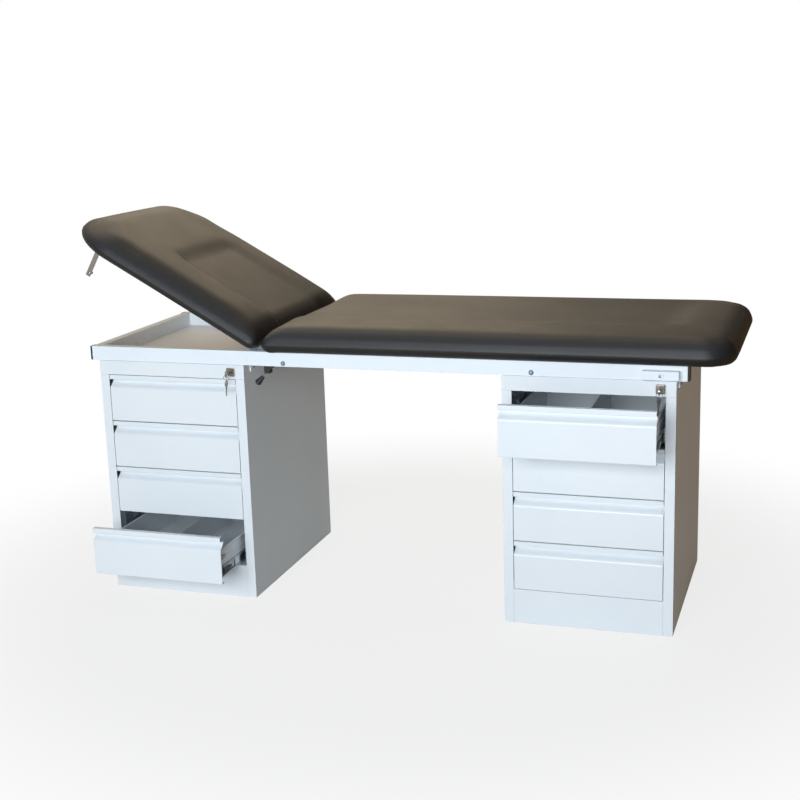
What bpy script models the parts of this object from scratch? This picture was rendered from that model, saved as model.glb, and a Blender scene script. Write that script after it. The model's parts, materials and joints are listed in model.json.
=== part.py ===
# Examination couch: a padded couch with a raising head section, carried on two drawer cabinets.
# Units are metres. X runs from the head end to the foot end, Y from front to back, Z up.
# Lengths along X are counted from the head cabinet's left side, along Y from the cabinets' front.

import math

import bmesh
import bpy
from mathutils import Matrix, Vector

# Fits
SEAT = 0.0003            # gap between pieces that touch
RUNNING = 0.0008         # gap between pieces that slide past each other

# Cabinets, of folded sheet steel
SHEET = 0.0015
CABINET_WIDTH = 0.450
CABINET_DEPTH = 0.600
CABINET_HEIGHT = 0.683
CABINET_PITCH = 1.184    # from one cabinet's left side to the other's
STILE_WIDTH = 0.026
PLINTH_HEIGHT = 0.095
FASCIA_HEIGHT = 0.040
FLANGE = 0.030           # folded edges of the plinth

# Drawers
DRAWER_COUNT = 4
DRAWER_TRAVEL = 0.360
DRAWER_OPEN = 0.158      # how far the two open drawers stand out
FRONT_GAP = 0.0015
LIP_HEIGHT = 0.0126
RECESS_BOTTOM = 0.040    # below the front's top edge
RECESS_TURN = 0.018      # where the recess is deepest, below the front's top edge
RECESS_DEPTH = 0.020
FRONT_FOLD = 0.014       # folded top and bottom edges of the front
BOX_SIDE_GAP = 0.014     # from the opening's edge to the drawer box
BOX_BACK_GAP = 0.078     # from the drawer box to the cabinet's back
BOX_FLOOR = 0.010        # above the bottom of the drawer's space
SIDE_DROP = 0.006        # box sides stop this far below the finger recess
BEAD_RADIUS = 0.003
LATCH_WINDOW = (0.022, 0.012)
LATCH_SETBACK = 0.030

# Drawer runners
RUNNER_HEIGHT = 0.036
RUNNER_BACK_GAP = 0.070  # from the runners to the cabinet's back
RUNNER_SETBACK = 0.030   # runners' front end behind the cabinet's front
RUNNER_GAUGE = 0.005
RUNNER_LIFT = 0.019      # runner's middle above the drawer floor
SLIDE_HEIGHT = 0.030     # the drawer's own half of the runner
POST_WIDTH = 0.040
POST_INSET = 0.040       # posts from the runners' ends

# Locks
LOCK_INSET = 0.039       # from the cabinet's right side
LOCK_FACE = 0.024
LOCK_PROUD = 0.006
BARREL_RADIUS = 0.008
BARREL_LENGTH = 0.022
PLUG_RADIUS = 0.0055
CAM_LENGTH = 0.014
CAM_WIDTH = 0.008
KEY_BOW_RADIUS = 0.0105
KEY_SHANK = 0.009
KEY_THICK = 0.0024

# Bed frame, of rectangular steel tube
RAIL_HEIGHT = 0.040
RAIL_WIDTH = 0.025
TUBE_WALL = 0.002
RAIL_SETBACK = 0.003
HEAD_OVERHANG = 0.0235   # rails past the head cabinet's left side
FOOT_OVERHANG = 0.0265   # rails past the foot cabinet's right side
CAP_HEAD = 0.006
CAP_PLUG = 0.015
BAR_WIDTH = 0.016
BAR_HEIGHT = 0.018
HINGE_BAR_GAP = 0.076    # from the hinge axis to the crossbars beside it
SPRING_BAR_GAP = 0.243
FOOT_BAR_INSET = 0.078   # from the foot cabinet's left side
SCREW_RADIUS = 0.004
SCREW_END_GAP = 0.003    # from the screw's end to the rail's inner wall
SCREW_HEAD_RADIUS = 0.007
SCREW_HEAD_HEIGHT = 0.0042
SOCKET_RADIUS = 0.0026
BRACKET_LEG = 0.025
BRACKET_GAUGE = 0.004
BRACKET_LENGTH = 0.070
BRACKET_SETBACK = 0.012  # behind the rail
BRACKET_BITE = 0.006     # crossbar's overlap on the bracket's top leg
WELD_DEPTH = 0.001       # how far welded pieces run into each other

# Accessory block on the front rail
BLOCK_SIZE = (0.093, 0.021, 0.024)
BLOCK_INSET = 0.065      # block's middle from the rail's foot end
BLOCK_LIFT = 0.0160      # block's middle above the rail's underside
BOSS_RADIUS = 0.0085
BOSS_HEIGHT = 0.002
BLOCK_HOLE_RADIUS = 0.004
BLOCK_HOLE_DEPTH = 0.015

# Pads
PAD_WIDTH = 0.665
MAIN_THICK = 0.074
HEAD_THICK = 0.064
PAD_CROWN = 0.004
PAD_DRAW = 0.003         # how far the long sides draw in at mid length
MAIN_LENGTH = 1.260
HEAD_LENGTH = 0.643
FOOT_CORNER = 0.085
HEAD_CORNER = 0.175
HINGE_CORNER = 0.045
HEAD_HINGE_CORNER = 0.050
LOWER_ROLL = 0.028       # radius of the pad's lower edge
UPPER_ROLL = 0.055       # width of the rounded upper edge
HINGE_ROLL = 0.075       # the same at the hinge
HEAD_ROLL = 0.090        # the same at the head end
MAIN_PANEL_WIDTH = 0.264  # sunk panel along the middle
HEAD_PANEL_WIDTH = 0.304
PANEL_DEPTH = 0.008
PANEL_FRONT_SLOPE = 0.022  # width of the panel's sloped edges
PANEL_BACK_SLOPE = 0.045
PANEL_END_SLOPE = 0.095
MAIN_PANEL_STOP = 0.170  # where the sunk panel stops short of the pad's far end
HEAD_PANEL_STOP = 0.284
BOARD_THICK = 0.012
BOARD_LIP = 0.006        # cushion between the board and the pad's rolled edge
BOARD_TRIM = 0.6         # share of the pad's corner that is cut off the board

# Head hinge and its lift
HINGE_GAP = 0.042        # from the head cabinet's right side to the hinge axis
HEAD_GAP = 0.012         # from the hinge axis to the head pad
MAIN_GAP = 0.030         # from the hinge axis to the main pad
HEAD_TILT = 29.6         # degrees
EAR_GAUGE = 0.004
EAR_RADIUS = 0.008
EAR_DROP = 0.030
PIN_RADIUS = 0.004
PIN_HEAD_RADIUS = 0.0065
PIN_HEAD = 0.0025
ARM_LENGTH = 0.180
ARM_HEIGHT = 0.016
STRAP_REACH = 0.100      # strap between the arms, from the hinge axis
STRAP_WIDTH = 0.030
CRANK_GAUGE = 0.005
CRANK_HALF_WIDTH = 0.010
CRANK_SLOT = 0.010       # how far the slot runs past the pin
SPRING_PIN_RADIUS = 0.004
SLOT_SIDE_GAP = 0.0022
FORK_LENGTH = 0.036
FORK_HEIGHT = 0.018
FORK_CHEEK = 0.004
FORK_REACH = 0.010       # past the pin
ROD_RADIUS = 0.005
ROD_LENGTH = 0.130
CYLINDER_RADIUS = 0.010
CYLINDER_DROP = 0.0017   # below the crossbars
CYLINDER_OVERHANG = 0.004  # past its clamps
CYLINDER_WALL = 0.020    # closed end
CLAMP_LENGTH = 0.012
CLAMP_WALL = 0.004

# Release lever under the front rail
LEVER_GAP = 0.026        # from the hinge axis to the lever's pivot
LEVER_DROP = 0.015       # pivot below the rail
LEVER_BLOCK = (0.016, 0.020, 0.021)
GUSSET_LENGTH = 0.018
GUSSET_HEIGHT = 0.011
LEVER_SLOT = 0.007
LEVER_EYE_RADIUS = 0.005
LEVER_PIN_RADIUS = 0.002
LEVER_ROD_RADIUS = 0.0028
LEVER_REACH = 0.024      # from the pivot to the knob
LEVER_ANGLE = 47.0       # degrees below level
KNOB_LENGTH = 0.028
KNOB_TOP_RADIUS = 0.0055
KNOB_END_RADIUS = 0.0095

# Paper roll arms under the head end
ROLL_ARM_STOP = 0.085    # from the pad's head end
ROLL_ARM_INSET = 0.060   # from the cabinets' front and back
ROLL_ARM_LENGTH = 0.100
ROLL_ARM_WIDTH = 0.014
ROLL_ARM_GAUGE = 0.003
ROLL_PIN_RADIUS = 0.0045
ROLL_PIN_LENGTH = 0.018

# Levels and lines that follow from the sizes above
OPENING_TOP = CABINET_HEIGHT - FASCIA_HEIGHT
DRAWER_PITCH = (OPENING_TOP - PLINTH_HEIGHT) / DRAWER_COUNT
FRONT_TOP = DRAWER_PITCH - FRONT_GAP
BOX_LEFT = STILE_WIDTH + BOX_SIDE_GAP
BOX_TOP = FRONT_TOP - RECESS_BOTTOM - SIDE_DROP
BOX_BACK = CABINET_DEPTH - BOX_BACK_GAP
RUNNER_END = CABINET_DEPTH - RUNNER_BACK_GAP
LOCK_X = CABINET_WIDTH - LOCK_INSET
SLIDE_LEFT = BOX_LEFT - RUNNER_GAUGE
RUNNER_RIGHT = SLIDE_LEFT - RUNNING
RAIL_BOTTOM = CABINET_HEIGHT + SEAT
RAIL_TOP = RAIL_BOTTOM + RAIL_HEIGHT
RAIL_INNER = RAIL_SETBACK + RAIL_WIDTH
FRAME_START = -HEAD_OVERHANG
FRAME_END = CABINET_PITCH + CABINET_WIDTH + FOOT_OVERHANG
MIDDLE = CABINET_DEPTH / 2
BLOCK_X = FRAME_END - BLOCK_INSET
BOARD_INSET = LOWER_ROLL + BOARD_LIP
HINGE_X = CABINET_WIDTH + HINGE_GAP
HINGE_Z = RAIL_TOP + SEAT
HINGE_BAR_X = HINGE_X + HINGE_BAR_GAP
SPRING_BAR_X = HINGE_X + SPRING_BAR_GAP
FOOT_BAR_X = CABINET_PITCH + FOOT_BAR_INSET
SPRING_Z = RAIL_BOTTOM - CYLINDER_DROP - CYLINDER_RADIUS
CRANK_RADIUS = HINGE_Z - SPRING_Z
LEVER_X = HINGE_X + LEVER_GAP
ROLL_ARM_REACH = HEAD_GAP + HEAD_LENGTH - ROLL_ARM_STOP


# Building helpers

def fresh_scene():
    for thing in list(bpy.data.objects):
        bpy.data.objects.remove(thing, do_unlink=True)


def collection(name):
    group = bpy.data.collections.new(name)
    bpy.context.scene.collection.children.link(group)
    return group


def material(name, colour, roughness, metallic=0.0):
    paint = bpy.data.materials.new(name)
    paint.use_nodes = True
    shader = paint.node_tree.nodes["Principled BSDF"]
    shader.inputs["Base Color"].default_value = (*colour, 1.0)
    shader.inputs["Roughness"].default_value = roughness
    shader.inputs["Metallic"].default_value = metallic
    return paint


def shape_of(mesh):
    shape = bpy.data.objects.new("shape", mesh)
    shape.hide_render = True
    shape.display_type = "WIRE"
    cutters.objects.link(shape)
    return shape


def shape_from(bm):
    mesh = bpy.data.meshes.new("shape")
    bm.to_mesh(mesh)
    bm.free()
    return shape_of(mesh)


def evaluated_mesh(shape):
    graph = bpy.context.evaluated_depsgraph_get()
    return bpy.data.meshes.new_from_object(shape.evaluated_get(graph))


def box(low, high):
    low, high = Vector(low), Vector(high)
    size = high - low
    bm = bmesh.new()
    bmesh.ops.create_cube(bm, size=1.0)
    bmesh.ops.scale(bm, vec=size, verts=bm.verts[:])
    bmesh.ops.translate(bm, vec=(low + high) / 2, verts=bm.verts[:])
    return shape_from(bm)


def along(start, end):
    # matrix that carries the Z axis from the origin onto the line from start to end
    start, end = Vector(start), Vector(end)
    turn = Vector((0, 0, 1)).rotation_difference(end - start).to_matrix().to_4x4()
    return Matrix.Translation(start) @ turn


def rod(start, end, radius, sides=16):
    length = (Vector(end) - Vector(start)).length
    bm = bmesh.new()
    bmesh.ops.create_cone(bm, cap_ends=True, segments=sides, radius1=radius, radius2=radius,
                          depth=length, matrix=Matrix.Translation((0, 0, length / 2)))
    bm.transform(along(start, end))
    return shape_from(bm)


def turned(profile, start, end, sides=16):
    # profile of (radius, height) from the top of the axis down its outer side, height along start to end
    bm = bmesh.new()
    corners = [bm.verts.new((radius, 0, height)) for radius, height in profile]
    for one, other in zip(corners, corners[1:]):
        bm.edges.new((one, other))
    mesh = bpy.data.meshes.new("profile")
    bm.to_mesh(mesh)
    bm.free()
    shape = shape_of(mesh)
    screw = shape.modifiers.new("turn", "SCREW")
    screw.steps = screw.render_steps = sides
    screw.use_merge_vertices = True
    screw.merge_threshold = 0.00001
    bm = bmesh.new()
    bm.from_mesh(evaluated_mesh(shape))
    bpy.data.objects.remove(shape)
    bmesh.ops.recalc_face_normals(bm, faces=bm.faces[:])
    bm.transform(along(start, end))
    return shape_from(bm)


def extruded(outlines, axis, start, end):
    # outlines of (y, z), (x, z) or (x, y) points, square to the axis; a second one is a hole
    curve = bpy.data.curves.new("outline", "CURVE")
    curve.dimensions = "2D"
    curve.fill_mode = "BOTH"
    curve.extrude = (end - start) / 2
    for outline in outlines:
        spline = curve.splines.new("POLY")
        spline.points.add(len(outline) - 1)
        for point, (first, second) in zip(spline.points, outline):
            point.co = (first, second, 0, 1)
        spline.use_cyclic_u = True
    flat = bpy.data.objects.new("outline", curve)
    cutters.objects.link(flat)
    bm = bmesh.new()
    bm.from_mesh(evaluated_mesh(flat))
    bpy.data.objects.remove(flat)
    bmesh.ops.remove_doubles(bm, verts=bm.verts[:], dist=0.000001)
    bmesh.ops.recalc_face_normals(bm, faces=bm.faces[:])
    frames = {"X": ((0, 1, 0), (0, 0, 1), (1, 0, 0)),
              "Y": ((1, 0, 0), (0, 0, 1), (0, -1, 0)),
              "Z": ((1, 0, 0), (0, 1, 0), (0, 0, 1))}
    turn = Matrix(frames[axis]).transposed().to_4x4()
    middle = Vector((axis == "X", axis == "Y", axis == "Z")) * ((start + end) / 2)
    bm.transform(Matrix.Translation(middle) @ turn)
    return shape_from(bm)


def rectangle(low, high):
    return [low, (high[0], low[1]), high, (low[0], high[1])]


def arc(middle, radius, start, end, steps=8):
    # points on an arc between two angles in degrees
    angles = [math.radians(start + (end - start) * step / steps) for step in range(steps + 1)]
    return [(middle[0] + radius * math.cos(angle), middle[1] + radius * math.sin(angle)) for angle in angles]


def circle(middle, radius, sides=16):
    return arc(middle, radius, 0, 360 - 360 / sides, sides - 1)


def combine(shape, tool, operation):
    boolean = shape.modifiers.new("combine", "BOOLEAN")
    boolean.operation = operation
    boolean.object = tool
    mesh = evaluated_mesh(shape)
    shape.modifiers.clear()
    shape.data = mesh
    bpy.data.objects.remove(tool)
    return shape


def cut(shape, *tools):
    for tool in tools:
        combine(shape, tool, "DIFFERENCE")
    return shape


def weld(shape, *tools):
    for tool in tools:
        combine(shape, tool, "UNION")
    return shape


def carried(shape, matrix):
    # a copy of the shape carried by the matrix, turned right side out again if that mirrors it
    bm = bmesh.new()
    bm.from_mesh(shape.data)
    bm.transform(matrix)
    if matrix.determinant() < 0:
        bmesh.ops.reverse_faces(bm, faces=bm.faces[:])
    return shape_from(bm)


def mirror_matrix(axis, middle):
    flip, offset = [1, 1, 1, 1], [0, 0, 0]
    flip[axis], offset[axis] = -1, 2 * middle
    return Matrix.Translation(offset) @ Matrix.Diagonal(flip)


def softened(shape, width, segments=2):
    bevel = shape.modifiers.new("round", "BEVEL")
    bevel.width = width
    bevel.segments = segments
    shape.data = evaluated_mesh(shape)
    shape.modifiers.clear()
    return shape


def pivot(name, location, parent=None, turn=0.0):
    empty = bpy.data.objects.new(name, None)
    empty.location = location
    empty.rotation_euler = (0, math.radians(turn), 0)
    empty.parent = parent
    parts.objects.link(empty)
    return empty


def place(name, shape, paint, parent):
    mesh = shape.data
    bpy.data.objects.remove(shape)
    return place_mesh(name, mesh, paint, parent)


def place_mesh(name, mesh, paint, parent):
    mesh.name = name
    mesh.shade_smooth()
    mesh.set_sharp_from_angle(angle=math.radians(35))
    mesh.materials.clear()
    mesh.materials.append(paint)
    piece = bpy.data.objects.new(name, mesh)
    piece.parent = parent
    parts.objects.link(piece)
    return piece


def tube(axis, low, high):
    # rectangular tube, open at both ends, along one axis
    order = {"X": (1, 2, 0), "Y": (0, 2, 1)}[axis]
    first, second, run = order
    outer = rectangle((low[first], low[second]), (high[first], high[second]))
    inner = rectangle((low[first] + TUBE_WALL, low[second] + TUBE_WALL),
                      (high[first] - TUBE_WALL, high[second] - TUBE_WALL))
    return extruded([outer, inner], axis, low[run], high[run])


# Cabinets

def cabinet_shell():
    width, depth = CABINET_WIDTH, CABINET_DEPTH
    plan = [(STILE_WIDTH, 0), (0, 0), (0, depth), (width, depth), (width, 0), (width - STILE_WIDTH, 0),
            (width - STILE_WIDTH, SHEET), (width - SHEET, SHEET), (width - SHEET, depth - SHEET),
            (SHEET, depth - SHEET), (SHEET, SHEET), (STILE_WIDTH, SHEET)]
    top = CABINET_HEIGHT - SHEET - SEAT
    shell = extruded([plan], "Z", 0, top)
    fascia_seat = box((-SHEET, -SHEET, OPENING_TOP - SEAT),
                      (width + SHEET, SHEET + SEAT, CABINET_HEIGHT))
    return cut(shell, fascia_seat)


def cabinet_plinth():
    left, right = STILE_WIDTH + SEAT, CABINET_WIDTH - STILE_WIDTH - SEAT
    fold = [(FLANGE, 0), (0, 0), (0, PLINTH_HEIGHT), (FLANGE, PLINTH_HEIGHT),
            (FLANGE, PLINTH_HEIGHT - SHEET), (SHEET, PLINTH_HEIGHT - SHEET), (SHEET, SHEET), (FLANGE, SHEET)]
    wall = SHEET + SEAT
    pan = box((wall, wall, PLINTH_HEIGHT - SHEET),
              (CABINET_WIDTH - wall, CABINET_DEPTH - wall, PLINTH_HEIGHT))
    return weld(extruded([fold], "X", left, right), pan)


def lock_height():
    return OPENING_TOP + FASCIA_HEIGHT / 2


def cabinet_cap():
    fold = [(0, OPENING_TOP), (0, CABINET_HEIGHT), (CABINET_DEPTH, CABINET_HEIGHT),
            (CABINET_DEPTH, CABINET_HEIGHT - SHEET), (SHEET, CABINET_HEIGHT - SHEET), (SHEET, OPENING_TOP)]
    cap = extruded([fold], "X", 0, CABINET_WIDTH)
    z = lock_height()
    return cut(cap, rod((LOCK_X, -FLANGE, z), (LOCK_X, FLANGE, z), BARREL_RADIUS + SEAT))


def runner_ladder():
    # the four left runners of a cabinet on three posts that stand against its side
    first, last = RUNNER_SETBACK + POST_INSET, RUNNER_END - POST_INSET - POST_WIDTH
    posts = (first, (first + last) / 2, last)
    wall = SHEET + SEAT
    left = RUNNER_RIGHT - RUNNER_GAUGE
    low, high = PLINTH_HEIGHT + SEAT, OPENING_TOP - FASCIA_HEIGHT
    ladder = None
    for level in range(DRAWER_COUNT):
        middle = PLINTH_HEIGHT + level * DRAWER_PITCH + BOX_FLOOR + RUNNER_LIFT
        half = RUNNER_HEIGHT / 2
        bar = box((left, RUNNER_SETBACK, middle - half), (RUNNER_RIGHT, RUNNER_END, middle + half))
        ladder = weld(ladder, bar) if ladder else weld(bar, *[
            box((wall, y, low), (left + WELD_DEPTH, y + POST_WIDTH, high)) for y in posts])
    return ladder


def lock_case():
    z = lock_height()
    half = LOCK_FACE / 2
    face = box((LOCK_X - half, -SEAT - LOCK_PROUD, z - half), (LOCK_X + half, -SEAT, z + half))
    softened(face, LOCK_PROUD / 3)
    case = weld(face, rod((LOCK_X, -LOCK_PROUD / 2, z), (LOCK_X, BARREL_LENGTH, z), BARREL_RADIUS))
    bore = rod((LOCK_X, -FLANGE, z), (LOCK_X, FLANGE, z), PLUG_RADIUS + SEAT)
    return cut(case, bore)


def lock_key():
    # plug, cam and the key in it, around the lock's own axis
    front = -SEAT - LOCK_PROUD - RUNNING
    plug = rod((0, front, 0), (0, BARREL_LENGTH + RUNNING + SHEET, 0), PLUG_RADIUS)
    back = BARREL_LENGTH + RUNNING
    half = CAM_WIDTH / 2
    cam = box((-half, back, -half), (half, back + 2 * SHEET, CAM_LENGTH))
    bow_middle = front - KEY_SHANK - KEY_BOW_RADIUS
    thick, tall = KEY_THICK / 2, PLUG_RADIUS * 0.6
    shank = box((-thick, bow_middle, -tall), (thick, SHEET, tall))
    bow = rod((-thick - SEAT, bow_middle, 0), (thick + SEAT, bow_middle, 0), KEY_BOW_RADIUS, 20)
    ring_y = bow_middle - KEY_BOW_RADIUS / 2
    hole = rod((-FLANGE, ring_y, 0), (FLANGE, ring_y, 0), KEY_BOW_RADIUS / 4, 10)
    return cut(weld(plug, cam, shank, bow), hole)


# Drawers, around the front left bottom corner of each drawer's space

def front_path():
    # the folded front from its top fold down to its bottom fold, as (y, z)
    path = [(FRONT_FOLD, FRONT_TOP), (0, FRONT_TOP)]
    turn, bottom = FRONT_TOP - RECESS_TURN, FRONT_TOP - RECESS_BOTTOM
    lip_end = FRONT_TOP - LIP_HEIGHT
    for step in range(5):
        angle = math.radians(22.5 * (4 - step))
        path.append((RECESS_DEPTH * math.cos(angle), turn + (lip_end - turn) * math.sin(angle)))
    for step in range(1, 9):
        share = step / 8
        path.append((RECESS_DEPTH * (1 + math.cos(math.pi * share)) / 2, turn + (bottom - turn) * share))
    return path + [(0, FRONT_GAP), (FRONT_FOLD, FRONT_GAP)]


def offset_path(path, distance):
    # the path moved sideways by the sheet's thickness, with mitred corners
    points = [Vector(point) for point in path]
    runs = [(after - before).normalized() for before, after in zip(points, points[1:])]
    sides = [Vector((-run.y, run.x)) for run in runs]
    moved = []
    for index, point in enumerate(points):
        before = sides[max(index - 1, 0)]
        after = sides[min(index, len(sides) - 1)]
        mitre = (before + after).normalized()
        moved.append(tuple(point + mitre * (distance / max(mitre.dot(after), 0.3))))
    return moved


def drawer_front():
    path = front_path()
    inside = offset_path(path, SHEET)
    left = STILE_WIDTH + FRONT_GAP
    return extruded([path + inside[::-1]], "X", left, CABINET_WIDTH - left)


def drawer_box():
    low = (BOX_LEFT, SHEET + SEAT, BOX_FLOOR)
    right, back = CABINET_WIDTH - BOX_LEFT, BOX_BACK
    tray = box(low, (right, back, BOX_TOP))
    halfway = CABINET_WIDTH / 2
    for start, end in ((BOX_LEFT, halfway - SHEET / 2), (halfway - SHEET / 2, right - SHEET)):
        cut(tray, box((start + SHEET, low[1] + SHEET, BOX_FLOOR + SHEET),
                      (end, back - SHEET, BOX_TOP + SHEET)))
    window_low = (BOX_TOP + BOX_FLOOR) / 2 + LATCH_WINDOW[1]
    cut(tray, box((right - 2 * SHEET, low[1] + LATCH_SETBACK, window_low),
                  (right + SHEET, low[1] + LATCH_SETBACK + LATCH_WINDOW[0], window_low + LATCH_WINDOW[1])))
    for side in (BOX_LEFT + SHEET / 2, right - SHEET / 2):
        weld(tray, rod((side, low[1], BOX_TOP), (side, back, BOX_TOP), BEAD_RADIUS, 10))
    middle, half = BOX_FLOOR + RUNNER_LIFT, SLIDE_HEIGHT / 2
    for start, end in ((SLIDE_LEFT, BOX_LEFT + SHEET / 2), (right - SHEET / 2, CABINET_WIDTH - SLIDE_LEFT)):
        weld(tray, box((start, RUNNER_SETBACK, middle - half), (end, RUNNER_END - POST_INSET, middle + half)))
    return tray


# Bed frame

def long_rail():
    # front rail, with holes for the crossbars' screws
    low = (FRAME_START, RAIL_SETBACK, RAIL_BOTTOM)
    rail = tube("X", low, (FRAME_END, RAIL_INNER, RAIL_TOP))
    for x in (HINGE_BAR_X, FOOT_BAR_X):
        z = RAIL_BOTTOM + BAR_HEIGHT / 2
        cut(rail, rod((x, 0, z), (x, RAIL_SETBACK + RAIL_WIDTH / 2, z), SCREW_RADIUS + SEAT, 12))
    return rail


def bracket_pair(cabinet_x, right):
    # angles on the outside of a cabinet's side, front and back, their top legs under the frame
    top, leg, gauge = RAIL_BOTTOM + WELD_DEPTH, BRACKET_LEG, BRACKET_GAUGE
    side, low = -SEAT, CABINET_HEIGHT - BRACKET_LEG
    outline = [(side, top), (side - leg, top), (side - leg, CABINET_HEIGHT - gauge),
               (side - gauge, CABINET_HEIGHT - gauge), (side - gauge, low), (side, low)]
    if right:
        outline = [(CABINET_WIDTH - x, z) for x, z in outline]
    outline = [(cabinet_x + x, z) for x, z in outline]
    start = RAIL_INNER + BRACKET_SETBACK
    angle = extruded([outline], "Y", start, start + BRACKET_LENGTH)
    return angle, carried(angle, mirror_matrix(1, MIDDLE))


def end_rail(x, cabinet_x, right):
    near, far = RAIL_INNER + SEAT, CABINET_DEPTH - RAIL_INNER - SEAT
    rail = tube("Y", (x, near, RAIL_BOTTOM), (x + RAIL_WIDTH, far, RAIL_TOP))
    return weld(rail, *bracket_pair(cabinet_x, right))


def end_cap():
    outside = FRAME_START - SEAT
    head = box((outside - CAP_HEAD, RAIL_SETBACK, RAIL_BOTTOM), (outside, RAIL_INNER, RAIL_TOP))
    softened(head, CAP_HEAD / 4)
    wall = TUBE_WALL + SEAT
    plug = box((FRAME_START - CAP_HEAD / 2, RAIL_SETBACK + wall, RAIL_BOTTOM + wall),
               (FRAME_START + CAP_PLUG, RAIL_INNER - wall, RAIL_TOP - wall))
    return weld(head, plug)


def crossbar(x, *welded):
    near, far = RAIL_INNER + SEAT, CABINET_DEPTH - RAIL_INNER - SEAT
    half = BAR_WIDTH / 2
    bar = tube("Y", (x - half, near, RAIL_BOTTOM), (x + half, far, RAIL_BOTTOM + BAR_HEIGHT))
    return weld(bar, *welded)


def rail_screw(x):
    z = RAIL_BOTTOM + BAR_HEIGHT / 2
    face = RAIL_SETBACK - SEAT
    radius, height = SCREW_HEAD_RADIUS, SCREW_HEAD_HEIGHT
    dome = [(0, height), (radius * 0.5, height * 0.93), (radius * 0.85, height * 0.55), (radius, 0), (0, 0)]
    screw = turned(dome, (x, face, z), (x, face - height, z))
    end = RAIL_INNER - TUBE_WALL - SCREW_END_GAP
    weld(screw, rod((x, face - height / 2, z), (x, end, z), SCREW_RADIUS, 12))
    return cut(screw, rod((x, face - 2 * height, z), (x, face - height * 0.35, z), SOCKET_RADIUS, 6))


def accessory_block():
    length, depth, height = BLOCK_SIZE
    back, z = RAIL_SETBACK - SEAT, RAIL_BOTTOM + BLOCK_LIFT
    face = back - depth
    left, right = BLOCK_X - length / 2, BLOCK_X + length / 2
    block = box((left, face, z - height / 2), (right, back, z + height / 2))
    softened(block, BOSS_HEIGHT)
    weld(block, rod((BLOCK_X, face - BOSS_HEIGHT, z), (BLOCK_X, back - depth / 2, z), BOSS_RADIUS, 20))
    return cut(block, rod((BLOCK_X, face - 2 * BOSS_HEIGHT, z), (BLOCK_X, face + BLOCK_HOLE_DEPTH, z),
                          BLOCK_HOLE_RADIUS, 14))


# Pads, from their hinge end along X and centred on Y

def rounded_plan(u, v, inset, length, corners):
    # a point of the rectangle, carried into the pad's rounded outline
    u = inset + u * (length - 2 * inset) / length
    half = PAD_WIDTH / 2 - inset
    v = v * half / (PAD_WIDTH / 2)
    corner = max(corners[0 if u < length / 2 else 1] - inset, SHEET)
    core_u = min(max(u, inset + corner), length - inset - corner)
    core_v = min(max(v, corner - half), half - corner)
    away = Vector((u - core_u, v - core_v))
    if away.x and away.y:
        away *= max(abs(away.x), abs(away.y)) / away.length
    draw = 1 - PAD_DRAW / (PAD_WIDTH / 2) * 4 * u * (length - u) / length ** 2
    return core_u + away.x, (core_v + away.y) * draw


def eased(share):
    share = min(max(share, 0.0), 1.0)
    return share * share * (3 - 2 * share)


def panel_slope(side, front):
    return PANEL_FRONT_SLOPE if side * front > 0 else PANEL_BACK_SLOPE


def pad_height(u, v, length, thick, far_roll, panel):
    panel_end, panel_width, front = panel
    across = max(0.0, 1 - (PAD_WIDTH / 2 - abs(v)) / UPPER_ROLL)
    along_pad = max(0.0, 1 - (length - u) / far_roll, 1 - u / HINGE_ROLL)
    roll = math.sqrt(max(1 - across ** 2 - along_pad ** 2, 0.0))
    crown = PAD_CROWN * (1 - (2 * v / PAD_WIDTH) ** 2)
    sunk = eased((panel_width / 2 - abs(v)) / panel_slope(v, front) + 0.5)
    sunk *= eased((panel_end - u) / PANEL_END_SLOPE + 0.5)
    return LOWER_ROLL + (thick - PAD_CROWN - LOWER_ROLL + crown - PANEL_DEPTH * sunk) * roll


def rolled(width, corner, shares=(0, 0.06, 0.2, 0.42, 0.7, 1.0)):
    # distances from an edge: close together over the rolled edge, then out to the corner's end
    lines, rest = [width * share for share in shares], corner - width
    if rest > width / 3:
        lines += [width + rest * step / 3 for step in (1, 2, 3)]
    return lines


def grid_lines(length, corners, far_roll, panel):
    panel_end, panel_width, front = panel
    far = [length - inset for inset in rolled(far_roll, corners[1])]
    hinge = rolled(HINGE_ROLL, corners[0])
    slope = [panel_end + PANEL_END_SLOPE * share for share in (-0.5, 0, 0.5)]
    open_run = slope[0] - hinge[-1]
    between = [hinge[-1] + open_run * step / 6 for step in range(1, 6)]
    along_pad = sorted(hinge + between + slope + far)
    rim = [PAD_WIDTH / 2 - inset for inset in rolled(UPPER_ROLL, corners[1])]
    across = [0.0]
    for side in (-1, 1):
        sunk = [panel_width / 2 + panel_slope(side, front) * share for share in (0.5, 0, -0.5)]
        across += [side * line for line in rim + sunk + [panel_width / 4]]
    return along_pad, sorted(across)


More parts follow.
